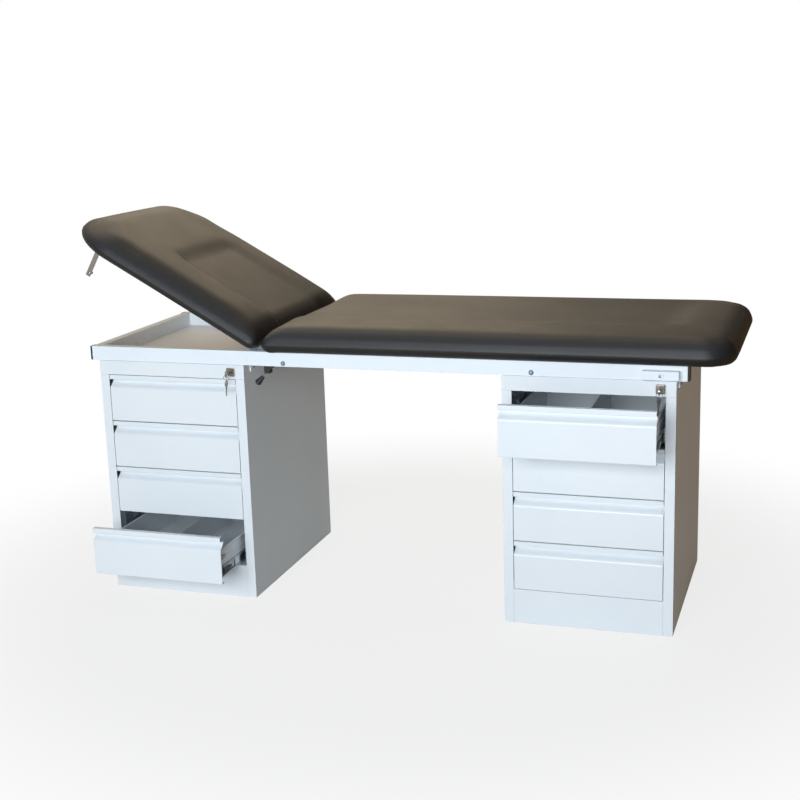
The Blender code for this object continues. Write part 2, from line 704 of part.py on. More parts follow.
def cushion(length, thick, corners, far_roll, panel):
    us, vs = grid_lines(length, corners, far_roll, panel)
    bm = bmesh.new()
    bmesh.ops.create_grid(bm, x_segments=len(us) - 1, y_segments=len(vs) - 1, size=1.0)
    flat = {}
    for vert in bm.verts:
        u = us[round((vert.co.x + 1) / 2 * (len(us) - 1))]
        v = vs[round((vert.co.y + 1) / 2 * (len(vs) - 1))]
        flat[vert] = (u, v)
        height = pad_height(u, v, length, thick, far_roll, panel)
        vert.co = (*rounded_plan(u, v, 0, length, corners), height)
    rim = [edge for edge in bm.edges if edge.is_boundary]
    for step in (1, 2, 3):
        angle = math.radians(30 * step)
        below = bmesh.ops.extrude_edge_only(bm, edges=rim)["geom"]
        inset, z = LOWER_ROLL * (1 - math.cos(angle)), LOWER_ROLL * (1 - math.sin(angle))
        new = [item for item in below if isinstance(item, bmesh.types.BMVert)]
        near = {vert: [edge.other_vert(vert) for edge in vert.link_edges] for vert in new}
        above = {vert: next(flat[other] for other in near[vert] if other in flat) for vert in new}
        flat.update(above)
        for vert in new:
            vert.co = (*rounded_plan(*flat[vert], inset, length, corners), z)
        rim = [edge for edge in bm.edges if edge.is_boundary]
    bmesh.ops.holes_fill(bm, edges=rim)
    bmesh.ops.recalc_face_normals(bm, faces=bm.faces[:])
    return cut(shape_from(bm), pad_board(length, corners, SEAT))


def pad_board(length, corners, room=0.0):
    # plywood with its corners cut off inside the pad's rounded ones; room makes the pocket for it
    start, end = BOARD_INSET - room, length - BOARD_INSET + room
    half = PAD_WIDTH / 2 - BOARD_INSET + room
    near, far = [max(corner - BOARD_INSET, SHEET) * BOARD_TRIM for corner in corners]
    plan = [(start + near, -half), (end - far, -half), (end, far - half), (end, half - far),
            (end - far, half), (start + near, half), (start, half - near), (start, near - half)]
    return extruded([plan], "Z", -room, BOARD_THICK + room)


# Head hinge, its gas spring and the release lever

def hinge_ear():
    # plate on the front rail's inner face, with the hinge pin welded in it
    low = HINGE_Z - EAR_DROP
    outline = [(HINGE_X + EAR_RADIUS, low), (HINGE_X - EAR_RADIUS, low)]
    outline += arc((HINGE_X, HINGE_Z), EAR_RADIUS, 180, 0)
    start = RAIL_INNER + SEAT
    ear = extruded([outline], "Y", start, start + EAR_GAUGE)
    neck = arm_start() + EAR_GAUGE + RUNNING
    pin = rod((HINGE_X, start + EAR_GAUGE / 2, HINGE_Z), (HINGE_X, neck + PIN_HEAD / 2, HINGE_Z), PIN_RADIUS)
    head = rod((HINGE_X, neck, HINGE_Z), (HINGE_X, neck + PIN_HEAD, HINGE_Z), PIN_HEAD_RADIUS)
    return weld(ear, pin, head)


def arm_start():
    return RAIL_INNER + SEAT + EAR_GAUGE + RUNNING


def head_arm():
    # flat bar on edge under the head board, with an eye around the hinge axis
    start, low = arm_start() - MIDDLE, -SEAT - ARM_HEIGHT
    outline = [(-ARM_LENGTH, -SEAT), (-ARM_LENGTH, low), (-EAR_RADIUS, low)]
    outline += arc((0, 0), EAR_RADIUS, -90, 180, 12) + [(-EAR_RADIUS, -SEAT)]
    return extruded([outline, circle((0, 0), PIN_RADIUS + SEAT)], "Y", start, start + EAR_GAUGE)


def crank():
    # hangs straight down with the head raised as at rest, with a slot for the spring's pin
    half, slant = CRANK_GAUGE / 2, HEAD_TILT - 90
    slope = Vector((math.cos(math.radians(slant)), math.sin(math.radians(slant))))
    near, tip = slope * CRANK_RADIUS, slope * (CRANK_RADIUS + CRANK_SLOT)
    wide = SPRING_PIN_RADIUS + SLOT_SIDE_GAP
    outline = arc((0, 0), CRANK_HALF_WIDTH, slant + 90, slant + 270)
    outline += arc(tip, CRANK_HALF_WIDTH, slant - 90, slant + 90)
    slot = arc(near, wide, slant + 90, slant + 270) + arc(tip, wide, slant - 90, slant + 90)
    return extruded([outline, slot], "Y", -half, half)


def head_frame():
    # two arms and the crank on a strap under the head board
    arm = head_arm()
    reach, half = arm_start() - MIDDLE + EAR_GAUGE / 2, STRAP_WIDTH / 2
    top = -SEAT - WELD_DEPTH
    strap = box((-STRAP_REACH - half, reach, top - EAR_GAUGE), (-STRAP_REACH + half, -reach, top))
    foot = box((-STRAP_REACH, -CRANK_GAUGE, -SEAT - ARM_HEIGHT), (0, CRANK_GAUGE, -SEAT))
    return weld(strap, carried(arm, mirror_matrix(1, 0)), arm, foot, crank())


def gas_rod():
    # rod, fork and pin, around the pin
    inner = CRANK_GAUGE / 2 + RUNNING
    outer = inner + FORK_CHEEK
    half = FORK_HEIGHT / 2
    base = FORK_LENGTH - FORK_REACH
    fork = box((-FORK_REACH, -outer, -half), (base, outer, half))
    cut(fork, box((-2 * FORK_REACH, -inner, -FORK_HEIGHT), (base - FORK_CHEEK, inner, FORK_HEIGHT)))
    weld(fork, rod((0, -outer - FORK_CHEEK / 2, 0), (0, outer + FORK_CHEEK / 2, 0), SPRING_PIN_RADIUS))
    return weld(fork, rod((base - FORK_CHEEK / 2, 0, 0), (base + ROD_LENGTH, 0, 0), ROD_RADIUS))


def gas_cylinder():
    overhang = CLAMP_LENGTH / 2 + CYLINDER_OVERHANG
    start, end = HINGE_BAR_X - overhang, SPRING_BAR_X + overhang
    body = rod((start, MIDDLE, SPRING_Z), (end, MIDDLE, SPRING_Z), CYLINDER_RADIUS, 20)
    bore_start, bore_end = start - ROD_RADIUS, end - CYLINDER_WALL
    return cut(body, rod((bore_start, MIDDLE, SPRING_Z), (bore_end, MIDDLE, SPRING_Z), ROD_RADIUS + SEAT))


def spring_clamp(x):
    half, wide = CLAMP_LENGTH / 2, CYLINDER_RADIUS + CLAMP_WALL
    clamp = box((x - half, MIDDLE - wide, SPRING_Z - wide),
                (x + half, MIDDLE + wide, RAIL_BOTTOM + WELD_DEPTH))
    return cut(clamp, rod((x - CLAMP_LENGTH, MIDDLE, SPRING_Z), (x + CLAMP_LENGTH, MIDDLE, SPRING_Z),
                          CYLINDER_RADIUS + SEAT, 20))


def lever_y():
    return RAIL_SETBACK + RAIL_WIDTH / 2


def lever_bracket():
    length, depth, height = LEVER_BLOCK
    top = RAIL_BOTTOM - SEAT
    left, right = LEVER_X - length / 2, LEVER_X + length / 2
    outline = [(left, top), (right + GUSSET_LENGTH, top), (right, top - GUSSET_HEIGHT),
               (right, top - height), (left, top - height)]
    y, z = lever_y(), RAIL_BOTTOM - LEVER_DROP
    bracket = extruded([outline], "Y", y - depth / 2, y + depth / 2)
    slot = LEVER_SLOT / 2
    cut(bracket, box((left - length, y - slot, top - 2 * height),
                     (LEVER_X + LEVER_EYE_RADIUS + RUNNING, y + slot, z + LEVER_EYE_RADIUS + RUNNING)))
    return weld(bracket, rod((LEVER_X, y - depth / 4, z), (LEVER_X, y + depth / 4, z), LEVER_PIN_RADIUS, 10))


def lever_line():
    tilt = math.radians(LEVER_ANGLE)
    return Vector((-math.cos(tilt), 0, -math.sin(tilt)))


def release_lever():
    half = Vector((0, LEVER_SLOT / 2 - RUNNING, 0))
    eye = rod(-half, half, LEVER_EYE_RADIUS)
    weld(eye, rod(lever_line() * LEVER_EYE_RADIUS * 0.5, lever_line() * (LEVER_REACH + KNOB_LENGTH / 2),
                  LEVER_ROD_RADIUS, 10))
    return cut(eye, rod(-2 * half, 2 * half, LEVER_PIN_RADIUS + SEAT, 10))


def lever_knob():
    start, end = lever_line() * LEVER_REACH, lever_line() * (LEVER_REACH + KNOB_LENGTH)
    tip = KNOB_LENGTH
    profile = [(0, tip), (KNOB_END_RADIUS * 0.75, tip * 0.98), (KNOB_END_RADIUS, tip * 0.86),
               (KNOB_TOP_RADIUS, tip * 0.06), (KNOB_TOP_RADIUS * 0.8, 0), (0, 0)]
    knob = turned(profile, start, end)
    hole = rod(-lever_line() * LEVER_REACH, lever_line() * (LEVER_REACH + KNOB_LENGTH / 2 + SEAT),
               LEVER_ROD_RADIUS + SEAT, 10)
    return cut(knob, hole)


def roll_arm():
    x, y, half = -ROLL_ARM_REACH, ROLL_ARM_INSET - MIDDLE, ROLL_ARM_WIDTH / 2
    low = -SEAT - ROLL_ARM_LENGTH
    arm = box((x - half, y, low), (x + half, y + ROLL_ARM_GAUGE, -SEAT))
    start, end = y - ROLL_ARM_GAUGE, y + ROLL_PIN_LENGTH
    return weld(arm, rod((x, start, low + half), (x, end, low + half), ROLL_PIN_RADIUS))


# Assembly

def place_pair(names, shape, paint, parent, axis, middle):
    place(names[1], carried(shape, mirror_matrix(axis, middle)), paint, parent)
    place(names[0], shape, paint, parent)


def build_cabinet(name, x, open_level, couch):
    spot = pivot(name, (x, 0, 0), couch)
    for piece, make, paint in (("shell", cabinet_shell, white), ("plinth", cabinet_plinth, white),
                               ("cap", cabinet_cap, white), ("lock_case", lock_case, nickel)):
        place(f"{name}_{piece}", make(), paint, spot)
    ladders = (f"{name}_left_runners", f"{name}_right_runners")
    place_pair(ladders, runner_ladder(), zinc, spot, 0, CABINET_WIDTH / 2)
    key = pivot(f"{name}_key_turn", (LOCK_X, 0, lock_height()), spot)
    place(f"{name}_key", lock_key(), nickel, key)
    shapes = {"front": drawer_front(), "box": drawer_box()}
    for level in range(DRAWER_COUNT):
        number = DRAWER_COUNT - level
        pulled = DRAWER_OPEN if level == open_level else 0
        slide = pivot(f"{name}_slide_{number}", (0, -pulled, PLINTH_HEIGHT + level * DRAWER_PITCH), spot)
        for piece, shape in shapes.items():
            place_mesh(f"{name}_drawer_{number}_{piece}", shape.data.copy(), white, slide)
    for shape in shapes.values():
        bpy.data.objects.remove(shape)


def build_frame(couch):
    place_pair(("front_rail", "back_rail"), long_rail(), white, couch, 1, MIDDLE)
    place("head_end_rail", end_rail(FRAME_START, 0, False), white, couch)
    place("foot_end_rail", end_rail(FRAME_END - RAIL_WIDTH, CABINET_PITCH, True), white, couch)
    far_cap = carried(end_cap(), mirror_matrix(0, (FRAME_START + FRAME_END) / 2))
    place_pair(("head_front_cap", "head_back_cap"), end_cap(), black, couch, 1, MIDDLE)
    place_pair(("foot_front_cap", "foot_back_cap"), far_cap, black, couch, 1, MIDDLE)
    head_bar_x = CABINET_WIDTH + BRACKET_BITE - BAR_WIDTH / 2
    foot_bar_x = CABINET_PITCH - BRACKET_BITE + BAR_WIDTH / 2
    place("head_cabinet_bar", crossbar(head_bar_x, *bracket_pair(0, True)), white, couch)
    place("foot_cabinet_bar", crossbar(foot_bar_x, *bracket_pair(CABINET_PITCH, False)), white, couch)
    place("hinge_bar", crossbar(HINGE_BAR_X, spring_clamp(HINGE_BAR_X)), white, couch)
    place("spring_bar", crossbar(SPRING_BAR_X, spring_clamp(SPRING_BAR_X)), white, couch)
    place("foot_bar", crossbar(FOOT_BAR_X), white, couch)
    place("head_rail_screw", rail_screw(HINGE_BAR_X), zinc, couch)
    place("foot_rail_screw", rail_screw(FOOT_BAR_X), zinc, couch)
    place("accessory_block", accessory_block(), white, couch)
    place_pair(("front_hinge_ear", "back_hinge_ear"), hinge_ear(), zinc, couch, 1, MIDDLE)
    place("gas_cylinder", gas_cylinder(), black, couch)
    place("lever_bracket", lever_bracket(), black, couch)


def build_main_pad(couch):
    spot = pivot("main_section", (HINGE_X + MAIN_GAP, MIDDLE, HINGE_Z), couch)
    panel, corners = (MAIN_LENGTH - MAIN_PANEL_STOP, MAIN_PANEL_WIDTH, -1), (HINGE_CORNER, FOOT_CORNER)
    place("main_pad", cushion(MAIN_LENGTH, MAIN_THICK, corners, UPPER_ROLL, panel), leatherette, spot)
    place("main_board", pad_board(MAIN_LENGTH, corners), plywood, spot)


def build_head(couch):
    spot = pivot("head_section", (HINGE_X, MIDDLE, HINGE_Z), couch, HEAD_TILT)
    pad_spot = pivot("head_cushion", (-HEAD_GAP, 0, 0), spot)
    pad_spot.rotation_euler = (0, 0, math.pi)
    panel, corners = (HEAD_LENGTH - HEAD_PANEL_STOP, HEAD_PANEL_WIDTH, 1), (HEAD_HINGE_CORNER, HEAD_CORNER)
    place("head_pad", cushion(HEAD_LENGTH, HEAD_THICK, corners, HEAD_ROLL, panel), leatherette, pad_spot)
    place("head_board", pad_board(HEAD_LENGTH, corners), plywood, pad_spot)
    place("head_frame", head_frame(), zinc, spot)
    place_pair(("front_roll_arm", "back_roll_arm"), roll_arm(), chrome, spot, 1, 0)


def build_release(couch):
    rod_spot = pivot("spring_slide", (HINGE_X, MIDDLE, SPRING_Z), couch)
    place("gas_rod", gas_rod(), chrome, rod_spot)
    lever = pivot("lever_turn", (LEVER_X, lever_y(), RAIL_BOTTOM - LEVER_DROP), couch)
    place("release_lever", release_lever(), chrome, lever)
    place("lever_knob", lever_knob(), black, lever)


def stand_on_origin(couch):
    # the couch's origin comes under the middle of its box
    bpy.context.view_layer.update()
    corners = [piece.matrix_world @ vert.co for piece in parts.objects if piece.type == "MESH"
               for vert in piece.data.vertices]
    low = [min(corner[axis] for corner in corners) for axis in range(3)]
    high = [max(corner[axis] for corner in corners) for axis in range(3)]
    couch.location = (-(low[0] + high[0]) / 2, -(low[1] + high[1]) / 2, -low[2])


fresh_scene()
parts = collection("examination_couch")
cutters = collection("cutters")
white = material("white powder coat", (0.84, 0.87, 0.90), 0.35)
leatherette = material("black leatherette", (0.035, 0.034, 0.033), 0.5)
plywood = material("plywood", (0.42, 0.29, 0.17), 0.7)
zinc = material("zinc plated steel", (0.55, 0.57, 0.58), 0.35, 1.0)
nickel = material("nickel plated brass", (0.60, 0.57, 0.52), 0.25, 1.0)
chrome = material("polished steel", (0.65, 0.65, 0.64), 0.2, 1.0)
black = material("black plastic", (0.012, 0.013, 0.016), 0.45)

couch_root = pivot("couch", (0, 0, 0))
build_cabinet("head_cabinet", 0, 0, couch_root)
build_cabinet("foot_cabinet", CABINET_PITCH, DRAWER_COUNT - 1, couch_root)
build_frame(couch_root)
build_main_pad(couch_root)
build_head(couch_root)
build_release(couch_root)
stand_on_origin(couch_root)
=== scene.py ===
# Examination couch on two drawer cabinets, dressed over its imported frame
import json
import math

import bmesh
import bpy
import numpy
from mathutils import Matrix, Vector


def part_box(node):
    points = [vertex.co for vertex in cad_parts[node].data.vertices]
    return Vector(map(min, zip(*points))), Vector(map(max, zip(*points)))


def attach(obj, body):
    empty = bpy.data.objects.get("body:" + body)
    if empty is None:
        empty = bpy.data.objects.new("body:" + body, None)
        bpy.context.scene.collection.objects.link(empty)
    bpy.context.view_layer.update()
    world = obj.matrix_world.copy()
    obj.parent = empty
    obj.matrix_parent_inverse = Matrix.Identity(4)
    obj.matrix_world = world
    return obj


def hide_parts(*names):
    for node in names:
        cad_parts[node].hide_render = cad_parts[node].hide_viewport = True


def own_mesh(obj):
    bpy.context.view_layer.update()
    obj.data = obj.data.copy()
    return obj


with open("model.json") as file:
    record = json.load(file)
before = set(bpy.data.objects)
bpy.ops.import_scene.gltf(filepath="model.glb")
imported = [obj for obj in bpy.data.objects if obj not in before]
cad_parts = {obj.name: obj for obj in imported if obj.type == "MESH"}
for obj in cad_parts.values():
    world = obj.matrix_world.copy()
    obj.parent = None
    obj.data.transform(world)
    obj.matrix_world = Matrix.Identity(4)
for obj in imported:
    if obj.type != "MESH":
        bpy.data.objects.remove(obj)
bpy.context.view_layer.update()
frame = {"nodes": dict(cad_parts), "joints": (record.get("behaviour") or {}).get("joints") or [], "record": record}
nodes = frame["nodes"]
joints = {joint["name"]: joint for joint in frame["joints"]}
print("frame loaded with", len(nodes), "nodes")


# small helpers for colours, nodes and meshes

def linear(colour):
    channels = [int(colour[start:start + 2], 16) / 255 for start in (1, 3, 5)]
    return tuple(c / 12.92 if c <= 0.04045 else ((c + 0.055) / 1.055) ** 2.4 for c in channels) + (1.0,)


def addNode(tree, kind, settings=None, inputs=None):
    node = tree.nodes.new("ShaderNode" + kind)
    for name, value in (settings or {}).items():
        setattr(node, name, value)
    for name, value in (inputs or {}).items():
        if isinstance(value, bpy.types.NodeSocket):
            tree.links.new(value, node.inputs[name])
        else:
            node.inputs[name].default_value = value
    return node


def colourOf(node):
    return next(out for out in node.outputs if out.type == "RGBA")


def newMaterial(name):
    material = bpy.data.materials.new(name)
    material.use_nodes = True
    tree = material.node_tree
    tree.nodes.clear()
    output = addNode(tree, "OutputMaterial")
    shader = addNode(tree, "BsdfPrincipled")
    tree.links.new(shader.outputs["BSDF"], output.inputs["Surface"])
    place = addNode(tree, "TexCoord").outputs["Object"]
    return material, tree, shader, place


def perMetre(millimetres):
    return 1000.0 / millimetres


def newPiece(name, bm, paints, smooth=None):
    mesh = bpy.data.meshes.new(name)
    bmesh.ops.recalc_face_normals(bm, faces=bm.faces[:])
    bm.to_mesh(mesh)
    bm.free()
    for paint in paints:
        mesh.materials.append(paint)
    if smooth is not None:
        mesh.shade_smooth()
        mesh.set_sharp_from_angle(angle=math.radians(smooth))
    piece = bpy.data.objects.new(name, mesh)
    bpy.context.scene.collection.objects.link(piece)
    return piece


def paintFaces(verts, paint):
    for face in {face for vert in verts for face in vert.link_faces}:
        face.material_index = paint


def addBlock(bm, low, high, paint=0):
    made = bmesh.ops.create_cube(bm, size=1.0)["verts"]
    low, high = Vector(low), Vector(high)
    for vert in made:
        vert.co = [low[i] if vert.co[i] < 0 else high[i] for i in range(3)]
    paintFaces(made, paint)


def addSlab(bm, outline, axis, start, end, paint=0):
    # a closed outline carried along one axis; its points are in the other two, in order
    spots = {"X": lambda a, b, at: (at, a, b),
             "Y": lambda a, b, at: (a, at, b),
             "Z": lambda a, b, at: (a, b, at)}
    rings = [[bm.verts.new(spots[axis](a, b, at)) for a, b in outline] for at in (start, end)]
    count = len(outline)
    faces = [bm.faces.new((rings[0][i], rings[0][(i + 1) % count], rings[1][(i + 1) % count], rings[1][i]))
             for i in range(count)]
    faces += [bm.faces.new(rings[0]), bm.faces.new(rings[1][::-1])]
    for face in faces:
        face.material_index = paint


def roundPoints(middle, radius, sides):
    return [(middle[0] + radius * math.cos(2 * math.pi * i / sides),
             middle[1] + radius * math.sin(2 * math.pi * i / sides)) for i in range(sides)]


def addTurned(bm, profile, matrix, sides, paint):
    # (radius, height) points turned around the matrix's own Z
    rings = []
    for radius, height in profile:
        if radius < 1e-7:
            rings.append([bm.verts.new(matrix @ Vector((0, 0, height)))])
        else:
            rings.append([bm.verts.new(matrix @ Vector((x, y, height)))
                          for x, y in roundPoints((0, 0), radius, sides)])
    for lower, upper in zip(rings, rings[1:]):
        for i in range(sides):
            j = (i + 1) % sides
            corners = [lower[i % len(lower)], lower[j % len(lower)],
                       upper[j % len(upper)], upper[i % len(upper)]]
            kept = [corner for at, corner in enumerate(corners) if corner not in corners[:at]]
            if len(kept) > 2:
                bm.faces.new(kept).material_index = paint


def addWire(bm, points, radius, sides):
    rings = []
    for at, point in enumerate(points):
        run = (points[min(at + 1, len(points) - 1)] - points[max(at - 1, 0)]).normalized()
        turn = run.to_track_quat("Z", "Y")
        rings.append([bm.verts.new(point + turn @ Vector((x, y, 0)))
                      for x, y in roundPoints((0, 0), radius, sides)])
    for lower, upper in zip(rings, rings[1:]):
        for i in range(sides):
            j = (i + 1) % sides
            bm.faces.new((lower[i], lower[j], upper[j], upper[i]))
    bm.faces.new(rings[0][::-1])
    bm.faces.new(rings[-1])


# camera at the photograph's viewing angle
cameraLook = {
    "axes": ((0.9504578, -0.0419638, 0.3080081),
             (0.3093268, 0.2257591, -0.9237693),
             (-0.0307708, 0.9732789, 0.2275550)),
    "stand": (1.1713438, -3.6106637, 1.4356836),
    "lens": 61.36025,
    "sensor": 36.0,
}
cameraData = bpy.data.cameras.new("photoCamera")
cameraData.lens = cameraLook["lens"]
cameraData.sensor_width = cameraLook["sensor"]
cameraData.sensor_fit = "HORIZONTAL"
camera = bpy.data.objects.new("photoCamera", cameraData)
bpy.context.scene.collection.objects.link(camera)
camera.matrix_world = Matrix.Translation(cameraLook["stand"]) @ Matrix(cameraLook["axes"]).to_4x4()
bpy.context.scene.camera = camera
bpy.context.scene.view_settings.view_transform = "Standard"
print("camera set")


# polyester powder coat, baked on folded steel sheet: a soft white with faint orange peel and eased edges
powderCoat = {"colour": "#e8edf0", "shade": "#dfe6eb", "roughness": (0.32, 0.36),
              "peelMm": 2.2, "peelDepthMm": 0.012, "patchMm": 240, "edgeMm": 0.9}


def coatedSteel(name, look):
    material, tree, shader, place = newMaterial(name)
    patch = addNode(tree, "TexNoise", {},
                    {"Vector": place, "Scale": perMetre(look["patchMm"]), "Detail": 2.0})
    tone = addNode(tree, "Mix", {"data_type": "RGBA"},
                   {0: patch.outputs["Fac"], "A": linear(look["colour"]), "B": linear(look["shade"])})
    tree.links.new(colourOf(tone), shader.inputs["Base Color"])
    rub = addNode(tree, "TexNoise", {},
                  {"Vector": place, "Scale": perMetre(look["patchMm"] / 4), "Detail": 3.0})
    low, high = look["roughness"]
    gloss = addNode(tree, "MapRange", {}, {"Value": rub.outputs["Fac"], "From Min": 0.3, "From Max": 0.7,
                                           "To Min": low, "To Max": high})
    tree.links.new(gloss.outputs["Result"], shader.inputs["Roughness"])
    peel = addNode(tree, "TexNoise", {},
                   {"Vector": place, "Scale": perMetre(look["peelMm"]), "Detail": 1.0})
    edge = addNode(tree, "Bevel", {"samples": 4}, {"Radius": look["edgeMm"] / 1000})
    bump = addNode(tree, "Bump", {}, {"Height": peel.outputs["Fac"], "Distance": look["peelDepthMm"] / 1000,
                                      "Strength": 0.6, "Normal": edge.outputs["Normal"]})
    tree.links.new(bump.outputs["Normal"], shader.inputs["Normal"])
    shader.inputs["IOR"].default_value = 1.5
    return material


cabinetCoat = coatedSteel("powderCoatedSheet", powderCoat)
railCoat = coatedSteel("powderCoatedTube", dict(powderCoat, colour="#ebf2f7", shade="#e2ebf2",
                                                roughness=(0.27, 0.31)))


# embossed leatherette, PVC on knitted cloth: fine leather grain with dark pits, a low sheen and rubbed patches
leatherLook = {"colour": "#1d1c1c", "pits": "#131313", "shine": 0.46, "roughness": (0.45, 0.50),
               "grainMm": 2.4, "grainDepthMm": 0.16, "mottleMm": 9, "patchMm": 150}


def grainedLeatherette(name, look):
    material, tree, shader, place = newMaterial(name)
    # real grain is about 1 mm and is drawn coarser, so that it shows
    cells = addNode(tree, "TexVoronoi", {"feature": "DISTANCE_TO_EDGE"},
                    {"Vector": place, "Scale": perMetre(look["grainMm"]), "Randomness": 0.9})
    fine = addNode(tree, "TexNoise", {},
                   {"Vector": place, "Scale": perMetre(look["grainMm"] / 2), "Detail": 2.0})
    plump = addNode(tree, "MapRange", {"interpolation_type": "SMOOTHSTEP"},
                    {"Value": cells.outputs["Distance"], "From Min": 0.0, "From Max": 0.22,
                     "To Min": 0.0, "To Max": 1.0})
    mottle = addNode(tree, "TexNoise", {},
                     {"Vector": place, "Scale": perMetre(look["mottleMm"]), "Detail": 3.0})
    share = addNode(tree, "Math", {"operation": "MULTIPLY_ADD"}, {0: plump.outputs["Result"], 1: 0.6, 2: -0.1})
    share = addNode(tree, "Math", {"operation": "ADD", "use_clamp": True},
                    {0: share.outputs[0], 1: mottle.outputs["Fac"]})
    tone = addNode(tree, "Mix", {"data_type": "RGBA"},
                   {0: share.outputs[0], "A": linear(look["pits"]), "B": linear(look["colour"])})
    tree.links.new(colourOf(tone), shader.inputs["Base Color"])
    patch = addNode(tree, "TexNoise", {},
                    {"Vector": place, "Scale": perMetre(look["patchMm"]), "Detail": 2.0})
    low, high = look["roughness"]
    rubbed = addNode(tree, "MapRange", {}, {"Value": patch.outputs["Fac"], "From Min": 0.3, "From Max": 0.7,
                                            "To Min": low, "To Max": high})
    tree.links.new(rubbed.outputs["Result"], shader.inputs["Roughness"])
    raised = addNode(tree, "Math", {"operation": "MULTIPLY_ADD"},
                     {0: fine.outputs["Fac"], 1: 0.35, 2: plump.outputs["Result"]})
    bump = addNode(tree, "Bump", {}, {"Height": raised.outputs[0], "Distance": look["grainDepthMm"] / 1000,
                                      "Strength": 0.5})
    tree.links.new(bump.outputs["Normal"], shader.inputs["Normal"])
    shader.inputs["IOR"].default_value = 1.52
    shader.inputs["Specular IOR Level"].default_value = look["shine"]
    return material


leatherette = grainedLeatherette("embossedLeatherette", leatherLook)


# rolled, drawn and plated metals: streaks along the part, a faint bloom and eased edges
def platedMetal(name, look):
    material, tree, shader, place = newMaterial(name)
    long = addNode(tree, "Mapping", {}, {"Vector": place, "Scale": look["stretch"]})
    streak = addNode(tree, "TexNoise", {},
                     {"Vector": long.outputs["Vector"], "Scale": perMetre(look["streakMm"]), "Detail": 4.0})
    bloom = addNode(tree, "TexNoise", {},
                    {"Vector": place, "Scale": perMetre(look["bloomMm"]), "Detail": 3.0})
    tone = addNode(tree, "Mix", {"data_type": "RGBA"},
                   {0: bloom.outputs["Fac"], "A": linear(look["colour"]), "B": linear(look["shade"])})
    tree.links.new(colourOf(tone), shader.inputs["Base Color"])
    low, high = look["roughness"]
    gloss = addNode(tree, "MapRange", {}, {"Value": streak.outputs["Fac"], "From Min": 0.3, "From Max": 0.7,
                                           "To Min": low, "To Max": high})
    tree.links.new(gloss.outputs["Result"], shader.inputs["Roughness"])
    edge = addNode(tree, "Bevel", {"samples": 4}, {"Radius": look["edgeMm"] / 1000})
    bump = addNode(tree, "Bump", {}, {"Height": streak.outputs["Fac"], "Distance": look["depthMm"] / 1000,
                                      "Strength": 0.4, "Normal": edge.outputs["Normal"]})
    tree.links.new(bump.outputs["Normal"], shader.inputs["Normal"])
    shader.inputs["Metallic"].default_value = 1.0
    return material


# blue-passivated zinc on cold-rolled steel runners: pale, slightly blue, with drawn streaks
zincLook = {"colour": "#b7c1c8", "shade": "#93a3b0", "roughness": (0.22, 0.38), "edgeMm": 0.5,
            "streakMm": 3, "stretch": (1.0, 0.08, 1.0), "bloomMm": 18, "depthMm": 0.02}
zincSteel = platedMetal("zincPlatedSteel", zincLook)
# nickel on die-cast locks and keys: warm grey, satin from tumbling
nickelLook = {"colour": "#b9b3a8", "shade": "#8f8a82", "roughness": (0.20, 0.36), "edgeMm": 0.5,
              "streakMm": 2, "stretch": (1.0, 1.0, 1.0), "bloomMm": 6, "depthMm": 0.01}
nickelPlate = platedMetal("nickelPlatedZinc", nickelLook)
# ground and buffed steel of rods and roll arms: bright, fine lines along the length
buffedLook = {"colour": "#cdcbc7", "shade": "#b4b1ac", "roughness": (0.14, 0.26), "edgeMm": 0.6,
              "streakMm": 2, "stretch": (0.3, 1.0, 0.3), "bloomMm": 12, "depthMm": 0.01}
buffedSteel = platedMetal("buffedSteel", buffedLook)


# moulded polymers and enamel: dark, with a fine spark texture from the mould
def mouldedDark(name, look):
    material, tree, shader, place = newMaterial(name)
    spark = addNode(tree, "TexNoise", {},
                    {"Vector": place, "Scale": perMetre(look["sparkMm"]), "Detail": 3.0})
    worn = addNode(tree, "TexNoise", {},
                   {"Vector": place, "Scale": perMetre(look["wornMm"]), "Detail": 2.0})
    tone = addNode(tree, "Mix", {"data_type": "RGBA"},
                   {0: worn.outputs["Fac"], "A": linear(look["colour"]), "B": linear(look["shade"])})
    tree.links.new(colourOf(tone), shader.inputs["Base Color"])
    low, high = look["roughness"]
    gloss = addNode(tree, "MapRange", {}, {"Value": worn.outputs["Fac"], "From Min": 0.3, "From Max": 0.7,
                                           "To Min": low, "To Max": high})
    tree.links.new(gloss.outputs["Result"], shader.inputs["Roughness"])
    edge = addNode(tree, "Bevel", {"samples": 4}, {"Radius": look["edgeMm"] / 1000})
    bump = addNode(tree, "Bump", {}, {"Height": spark.outputs["Fac"], "Distance": look["depthMm"] / 1000,
                                      "Strength": 0.5, "Normal": edge.outputs["Normal"]})
    tree.links.new(bump.outputs["Normal"], shader.inputs["Normal"])
    shader.inputs["IOR"].default_value = look["ior"]
    return material


# polyethylene caps and knob, moulded: navy black, slightly waxy
plasticLook = {"colour": "#17181d", "shade": "#22252e", "roughness": (0.36, 0.50), "ior": 1.5,
               "sparkMm": 0.8, "wornMm": 14, "depthMm": 0.03, "edgeMm": 0.8}
mouldedPlastic = mouldedDark("mouldedPolyethylene", plasticLook)
# stoved black enamel on the spring and the lever's block: deeper gloss, thin runs
enamelLook = {"colour": "#121314", "shade": "#1b1c1f", "roughness": (0.24, 0.36), "ior": 1.52,
              "sparkMm": 2.0, "wornMm": 30, "depthMm": 0.02, "edgeMm": 0.6}
blackEnamel = mouldedDark("stovedEnamel", enamelLook)


# birch plywood, sanded: a long pale figure, and fine dark pores that run with it
plyLook = {"colour": "#c9a878", "dark": "#ab8654", "pore": "#7d5c38", "roughness": 0.62,
           "figureMm": 16, "figureStretch": (0.10, 1.0, 0.10),
           "poreMm": 2.4, "poreStretch": (0.05, 1.0, 0.05), "poreDepthMm": 0.2}


